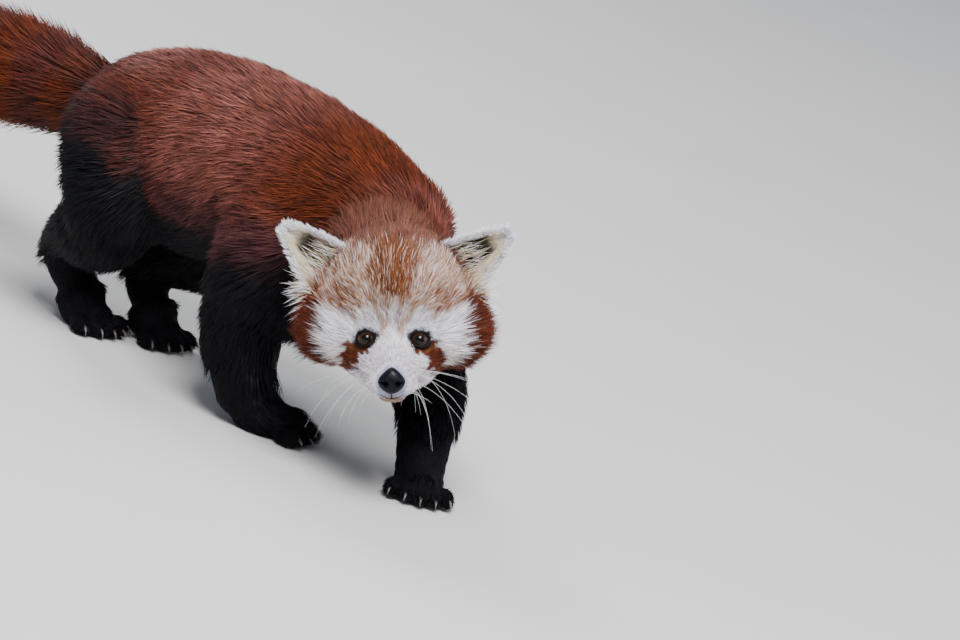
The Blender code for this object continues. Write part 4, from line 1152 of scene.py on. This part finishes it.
def fine_grain():
    """The effect that every finish shares: a fine noise on the piece, also as a shade between two limits."""
    group = bpy.data.node_groups.new("fine grain", "ShaderNodeTree")
    for name in ("Scale", "Detail", "Darkest", "Lightest"):
        group.interface.new_socket(name, in_out="INPUT", socket_type="NodeSocketFloat")
    for name in ("Grain", "Shade"):
        group.interface.new_socket(name, in_out="OUTPUT", socket_type="NodeSocketFloat")
    given = group.nodes.new("NodeGroupInput").outputs
    result = group.nodes.new("NodeGroupOutput").inputs
    place = group.nodes.new("ShaderNodeTexCoord").outputs
    noise = group.nodes.new("ShaderNodeTexNoise")
    spread = group.nodes.new("ShaderNodeMapRange")
    for start, end in (
        (place["Object"], noise.inputs["Vector"]),
        (given["Scale"], noise.inputs["Scale"]),
        (given["Detail"], noise.inputs["Detail"]),
        (noise.outputs["Fac"], spread.inputs["Value"]),
        (given["Darkest"], spread.inputs["To Min"]),
        (given["Lightest"], spread.inputs["To Max"]),
        (noise.outputs["Fac"], result["Grain"]),
        (spread.outputs["Result"], result["Shade"]),
    ):
        group.links.new(start, end)
    return group


class Finish:
    """A material with fixed values on its shader, and the fine grain to shade and roughen it with."""

    def __init__(self, name, scale, detail, vary, fixed):
        self.made = bpy.data.materials.new(name)
        self.made.use_nodes = True
        self.nodes = self.made.node_tree.nodes
        self.shader = self.nodes["Principled BSDF"]
        set_inputs(self.shader, fixed)
        self.grain = self.nodes.new("ShaderNodeGroup")
        self.grain.node_tree = bpy.data.node_groups.get("fine grain") or fine_grain()
        set_inputs(self.grain, {"Scale": scale, "Detail": detail})
        set_inputs(self.grain, {"Darkest": 1.0 - vary, "Lightest": 1.0 + vary})

    def link(self, output, node, socket):
        self.made.node_tree.links.new(output, node.inputs[socket])

    def attribute(self, name):
        """What the piece carries under a name."""
        node = self.nodes.new("ShaderNodeAttribute")
        node.attribute_name = name
        return node.outputs

    def tint(self, colour):
        """The shader's colour, shaded by the grain. The colour is an output of a node or a fixed one."""
        shaded = self.nodes.new("ShaderNodeVectorMath")
        shaded.operation = "SCALE"
        if isinstance(colour, tuple):
            shaded.inputs[0].default_value = colour
        else:
            self.link(colour, shaded, 0)
        self.link(self.grain.outputs["Shade"], shaded, "Scale")
        self.link(shaded.outputs["Vector"], self.shader, "Base Color")
        return self.made

    def bumps(self, depth, strength):
        """The grain as fine bumps."""
        bump = self.nodes.new("ShaderNodeBump")
        set_inputs(bump, {"Strength": strength, "Distance": depth})
        self.link(self.grain.outputs["Grain"], bump, "Height")
        self.link(bump.outputs["Normal"], self.shader, "Normal")


def fur_material(name, roughness, specular, sheen):
    """Hair whose colour is the coat's own, streaked along each blade, with a soft sheen."""
    gloss = {"Roughness": roughness, "Specular IOR Level": specular}
    soft = {"Sheen Weight": sheen, "Sheen Roughness": 0.45}
    finish = Finish(name, 420.0, 2.0, 0.28, gloss | soft)
    return finish.tint(finish.attribute("coat_colour")["Color"])


def skin_material():
    """Short fur that lies flat under the coat, as bump only."""
    finish = Finish("short fur on skin", 900.0, 2.0, 0.20, {"Roughness": 0.80, "Specular IOR Level": 0.12})
    finish.bumps(0.0006, 0.5)
    return finish.tint(finish.attribute("coat_colour")["Color"])


def plain_material(name, colour, roughness, coat, scale, depth, vary, specular):
    """A finish with a fine grain in its colour, roughness and surface."""
    fixed = {"Specular IOR Level": specular, "Coat Weight": coat, "Coat Roughness": 0.08}
    finish = Finish(name, scale, 4.0, vary, fixed)
    finish.bumps(depth, 0.6)
    rough = finish.nodes.new("ShaderNodeMapRange")
    set_inputs(rough, {"To Min": roughness * 0.8, "To Max": roughness * 1.2})
    finish.link(finish.grain.outputs["Grain"], rough, "Value")
    finish.link(rough.outputs["Result"], finish.shader, "Roughness")
    return finish.tint(colour)


# Colours of the eye by the angle from its pupil, as a share of a right angle
IRIS_RINGS = (
    (0.20, (0.002, 0.002, 0.002)),
    (0.28, (0.008, 0.004, 0.002)),
    (0.46, (0.028, 0.011, 0.004)),
    (0.58, (0.006, 0.003, 0.002)),
    (0.70, (0.003, 0.002, 0.002)),
)


def eye_material():
    """A dark brown iris round a black pupil, under a clear wet coat."""
    under = {"Roughness": 0.5, "Specular IOR Level": 0.0}
    wet = {"Coat Weight": 1.0, "Coat IOR": 1.33, "Coat Roughness": 0.02}
    finish = Finish("eye", 1400.0, 2.0, 0.40, under | wet)
    ramp = finish.nodes.new("ShaderNodeValToRGB")
    elements = ramp.color_ramp.elements
    elements.remove(elements[1])
    elements[0].position = IRIS_RINGS[0][0]
    elements[0].color = (*IRIS_RINGS[0][1], 1.0)
    for position, colour in IRIS_RINGS[1:]:
        elements.new(position).color = (*colour, 1.0)
    finish.link(finish.attribute("from_pupil")["Fac"], ramp, "Fac")
    return finish.tint(ramp.outputs["Color"])


# Pieces of the face and paws
def view_axes():
    """The camera's right, up and back, in the animal's axes."""
    back = Vector((
        math.sin(VIEW_TURN) * math.cos(VIEW_LIFT),
        -math.cos(VIEW_TURN) * math.cos(VIEW_LIFT),
        math.sin(VIEW_LIFT),
    ))
    level = Vector((0.0, 0.0, 1.0)).cross(back).normalized()
    upright = back.cross(level)
    right = level * math.cos(VIEW_ROLL) + upright * math.sin(VIEW_ROLL)
    return right, back.cross(right), back


def eye_piece(side, centre, radius):
    """An eyeball with its pole turned to where the animal looks, and its clear front bulging a little."""
    gaze = view_axes()[2]
    place = Matrix.Translation(centre) @ gaze.to_track_quat("Z", "Y").to_matrix().to_4x4()
    piece = ball((0.0, 0.0, 0.0), (radius,) * 3, place, 48, 32)
    layer = piece.data.attributes.new("from_pupil", "FLOAT", "POINT")
    for vert in piece.data.vertices:
        away = (vert.co - centre).normalized().angle(gaze)
        layer.data[vert.index].value = away / (math.pi / 2)
        bulge = math.exp(-((away / EYE_BULGE_REACH) ** 2)) * EYE_BULGE
        vert.co += (vert.co - centre).normalized() * bulge
    return finished(piece, f"eye_{side}_wet")


def lid_piece(side, centre, radius):
    """The rims of the lids, an almond round the eye, with the upper lid over its top."""
    turn = head_place().to_3x3()
    sign = 1 if side == "left" else -1
    gaze = (turn @ Vector((sign * 0.22, -1.0, 0.10))).normalized()
    across = (turn @ Vector((0.0, 0.0, 1.0))).cross(gaze).normalized()
    lift = gaze.cross(across).normalized()
    centres = []
    for number in range(LID_POINTS):
        angle = 2 * math.pi * number / LID_POINTS
        flat = across * (LID_WIDTH * math.cos(angle)) + lift * (LID_HEIGHT * math.sin(angle))
        point = gaze * math.sqrt(max(1.0 - flat.length_squared, 0.05)) + flat
        centres.append(centre + point.normalized() * (radius + LID_GAP))
    centres += centres[:2]
    return finished(tube(centres, [LID_RADIUS] * len(centres), sides=3, steps=3), f"lid_{side}")


def nose_form(segments, rings, shape):
    """The nose pad from a ball, each of whose points is given its place by a shape."""
    piece = ball((0.0, 0.0, 0.0), (1.0, 1.0, 1.0), Matrix(), segments, rings)
    place = head_place() @ Matrix.Translation(NOSE_CENTRE)
    for vert in piece.data.vertices:
        vert.co = place @ shape(*vert.co)
    return piece


def solid_nose(x, y, z):
    """The shape of the solid nose, which shows where the animal stands in the shared frame."""
    narrow = 1.0 - 0.42 * max(-z, 0.0) ** 1.5 - 0.10 * max(z, 0.0)
    flat = 1.0 - 0.18 * max(-y, 0.0)
    return Vector((x * narrow * NOSE_RADII[0], y * flat * NOSE_RADII[1], z * NOSE_RADII[2]))


def finished_nose(x, y, z):
    """Narrow above and broad below, with comma-shaped nostrils and a cleft pressed in."""
    narrow = 1.0 - 0.14 * max(-z, 0.0) ** 2 - 0.48 * max(z, 0.0) ** 1.2
    flat = 1.0 - 0.20 * max(-y, 0.0)
    local = Vector((x * narrow * NOSE_RADII[0], y * flat * NOSE_RADII[1], z * NOSE_RADII[2]))
    if y < 0.0:
        side = abs(local.x)
        hole = math.hypot((side - 0.0046) / 0.0024, (local.z + 0.0030) / 0.0026)
        slit = math.hypot((side - 0.0078) / 0.0030, (local.z + 0.0028 - 0.30 * (side - 0.0046)) / 0.0011)
        dent = 0.0042 * max(1.0 - hole**2, 0.0) + 0.0026 * max(1.0 - slit**2, 0.0)
        below = min(max((0.001 - local.z) / 0.004, 0.0), 1.0)
        local.y += min(dent, 0.0044) + 0.0007 * math.exp(-((local.x / 0.0007) ** 2)) * below
    local.z += NOSE_RISE
    return local


def nose_piece():
    return finished(nose_form(96, 64, finished_nose), "nose_wet")


def mouth_piece(surface):
    """The dark line of the mouth below the nose, with the short cleft that leads down to it."""
    place = head_place()
    forward = place.to_3x3() @ Vector((0.0, 1.0, 0.0))

    def on_face(x, z):
        hit = surface.ray_cast(place @ Vector((x, -0.12, z)), forward)[0]
        return hit + forward * 0.0002

    low = MOUTH_HEIGHT - 0.0012
    line = [on_face(share * MOUTH_HALF_WIDTH, low + 0.0045 * (abs(share) ** 1.8)) for share in MOUTH_SHARES]
    radii = [0.00075 * (1.0 - 0.7 * abs(share)) for share in MOUTH_SHARES]
    cleft = [on_face(0.0, low + 0.0034 * share) for share in (0.0, 0.5, 1.0)]
    lines = [tube(line, radii, sides=2, steps=4), tube(cleft, (0.0006,) * 3, sides=2, steps=3)]
    return finished(joined(lines), "mouth")


def claw_pieces():
    """Twenty curved claws, as one piece."""
    places = [toe for name in PAWS for toe in toe_places(name)]
    return finished(joined([tube(CLAW_PATH, CLAW_RADII, toe, sides=3, steps=5) for toe in places]), "claws")


def whisker_piece(surface):
    """Long white whiskers that arch back and down from the upper lip, and short ones under it."""
    place = head_place()
    pieces = []
    for side, reach in WHISKER_REACH.items():
        for number in range(WHISKER_COUNT):
            share = number / (WHISKER_COUNT - 1)
            root = mixed(WHISKER_ROOTS[0], WHISKER_ROOTS[1], share) + rng.normal(0.0, 0.0018, 3)
            tip = np.array([np.interp(share, (0.0, 0.35, 1.0), places) for places in zip(*WHISKER_TIPS)])
            length = 1.0 if number in LONG_WHISKERS else rng.uniform(0.40, 0.80)
            tip = root + (tip - root) * reach * length + rng.normal(0.0, 0.006, 3)
            bend = root + (tip - root) * np.array([rng.uniform(0.65, 0.85), 0.5, rng.uniform(0.15, 0.30)])
            line = []
            for along in WHISKER_CUTS:
                point = (1 - along) ** 2 * root + 2 * along * (1 - along) * bend + along**2 * tip
                line.append(place @ Vector(point * np.array([side, 1.0, 1.0])))
            moved = surface.find_nearest(line[0])[0] - line[0]
            line = [point + moved * (1 - along) for point, along in zip(line, WHISKER_CUTS)]
            pieces.append(tube(line, WHISKER_RADII, sides=1, steps=6))
    return finished(joined(pieces), "whiskers")


# Floor, lights and camera
def lay_floor():
    """A plain pale floor."""
    select()
    bpy.ops.mesh.primitive_plane_add(size=FLOOR_SIZE)
    floor = bpy.context.object
    floor.name = "floor"
    floor.data.materials.append(plain_material(*PLAIN_FINISHES["floor"]))


def set_lights():
    """A pale sky and soft lamps, each turned to the point that it lights."""
    world = bpy.data.worlds.new("studio")
    bpy.context.scene.world = world
    world.use_nodes = True
    set_inputs(world.node_tree.nodes["Background"], {"Color": (0.76, 0.84, 1.0, 1.0), "Strength": 0.45})
    for name, (place, aim, size, power, colour) in LAMPS.items():
        data = bpy.data.lights.new(name, "AREA")
        data.size = size
        data.energy = power
        data.color = colour
        lamp = bpy.data.objects.new(name, data)
        bpy.context.scene.collection.objects.link(lamp)
        lamp.location = place
        lamp.rotation_mode = "QUATERNION"
        lamp.rotation_quaternion = (Vector(aim) - Vector(place)).to_track_quat("-Z", "Y")


def set_camera(shift):
    """The photograph's camera."""
    right, up, back = view_axes()
    data = bpy.data.cameras.new("camera")
    camera = bpy.data.objects.new("camera", data)
    bpy.context.scene.collection.objects.link(camera)
    across = (PHOTO_SIZE[0] / 2 - AIM_PIXEL[0]) / PIXELS_PER_METRE
    above = (PHOTO_SIZE[1] / 2 - AIM_PIXEL[1]) / PIXELS_PER_METRE
    turn = Matrix((right, up, back)).transposed().to_4x4()
    turn.translation = AIM + shift + back * VIEW_DISTANCE + right * across - up * above
    camera.matrix_world = turn
    data.sensor_width = SENSOR_WIDTH
    data.lens = PIXELS_PER_METRE * VIEW_DISTANCE * SENSOR_WIDTH / PHOTO_SIZE[0]
    data.clip_end = FLOOR_SIZE
    bpy.context.scene.camera = camera


# The whole animal
def frame_shift():
    """From the animal's own axes to the shared frame, by where the solid nose lies in each."""
    stand_in = nose_form(16, 10, solid_nose)
    points = read(stand_in.data.vertices, "co", 3)
    bpy.data.objects.remove(stand_in)
    low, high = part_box("nose")
    shift = (low + high) / 2 - (Vector(points.min(axis=0)) + Vector(points.max(axis=0))) / 2
    shift.z = 0.0
    return shift


def unwrap(skin):
    """An unwrap of the skin's own shape."""
    skin.data.uv_layers.new(name="OFBake")
    select(skin)
    bpy.ops.object.mode_set(mode="EDIT")
    bpy.ops.mesh.select_all(action="SELECT")
    bpy.ops.uv.smart_project(angle_limit=math.radians(66.0), island_margin=0.002)
    bpy.ops.object.mode_set(mode="OBJECT")


def make_coat(grown):
    """The pieces of the coat, with their finishes."""
    coat = grow_coat(grown)
    fur = fur_material("fur", 0.60, 0.12, 0.04)
    black_fur = fur_material("black fur", 0.50, 0.10, 0.01)
    for piece in coat:
        piece.data.materials.append(black_fur if piece.name in ("coat_legs", "coat_paws") else fur)
    return coat


def make_eyes(shift):
    """The two eyes with their lids, each in place of its solid."""
    eye = eye_material()
    rim = plain_material(*PLAIN_FINISHES["lids"])
    pieces = []
    for side in ("left", "right"):
        low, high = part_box(f"eye_{side}")
        centre = (low + high) / 2 - shift
        radius = (high - low).x / 2
        ball_piece = eye_piece(side, centre, radius)
        ball_piece.data.materials.append(eye)
        lid = lid_piece(side, centre, radius)
        lid.data.materials.append(rim)
        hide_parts(f"eye_{side}")
        pieces += [ball_piece, lid]
    return pieces


def main():
    shift = frame_shift()
    nose = nose_piece()
    skin = make_skin()
    unwrap(skin)
    grown = Skin(skin)
    write_colours(skin.data, coat_colours(grown.parts) * SKIN_SHADE)
    skin.data.materials.append(skin_material())
    coat = make_coat(grown)
    surface = BVHTree.FromPolygons([Vector(point) for point in grown.points], grown.faces.tolist())
    claws = claw_pieces()
    whiskers = whisker_piece(surface)
    small = [nose, mouth_piece(surface), claws, whiskers]
    for piece in small:
        piece.data.materials.append(plain_material(*PLAIN_FINISHES[piece.name]))
    for piece in [skin] + small + coat + make_eyes(shift):
        piece.data.transform(Matrix.Translation(shift))
        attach(piece, "root")
    flesh = [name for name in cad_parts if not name.startswith(("eye", "nose"))]
    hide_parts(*flesh)
    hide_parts("nose")
    lay_floor()
    set_lights()
    set_camera(shift)


main()
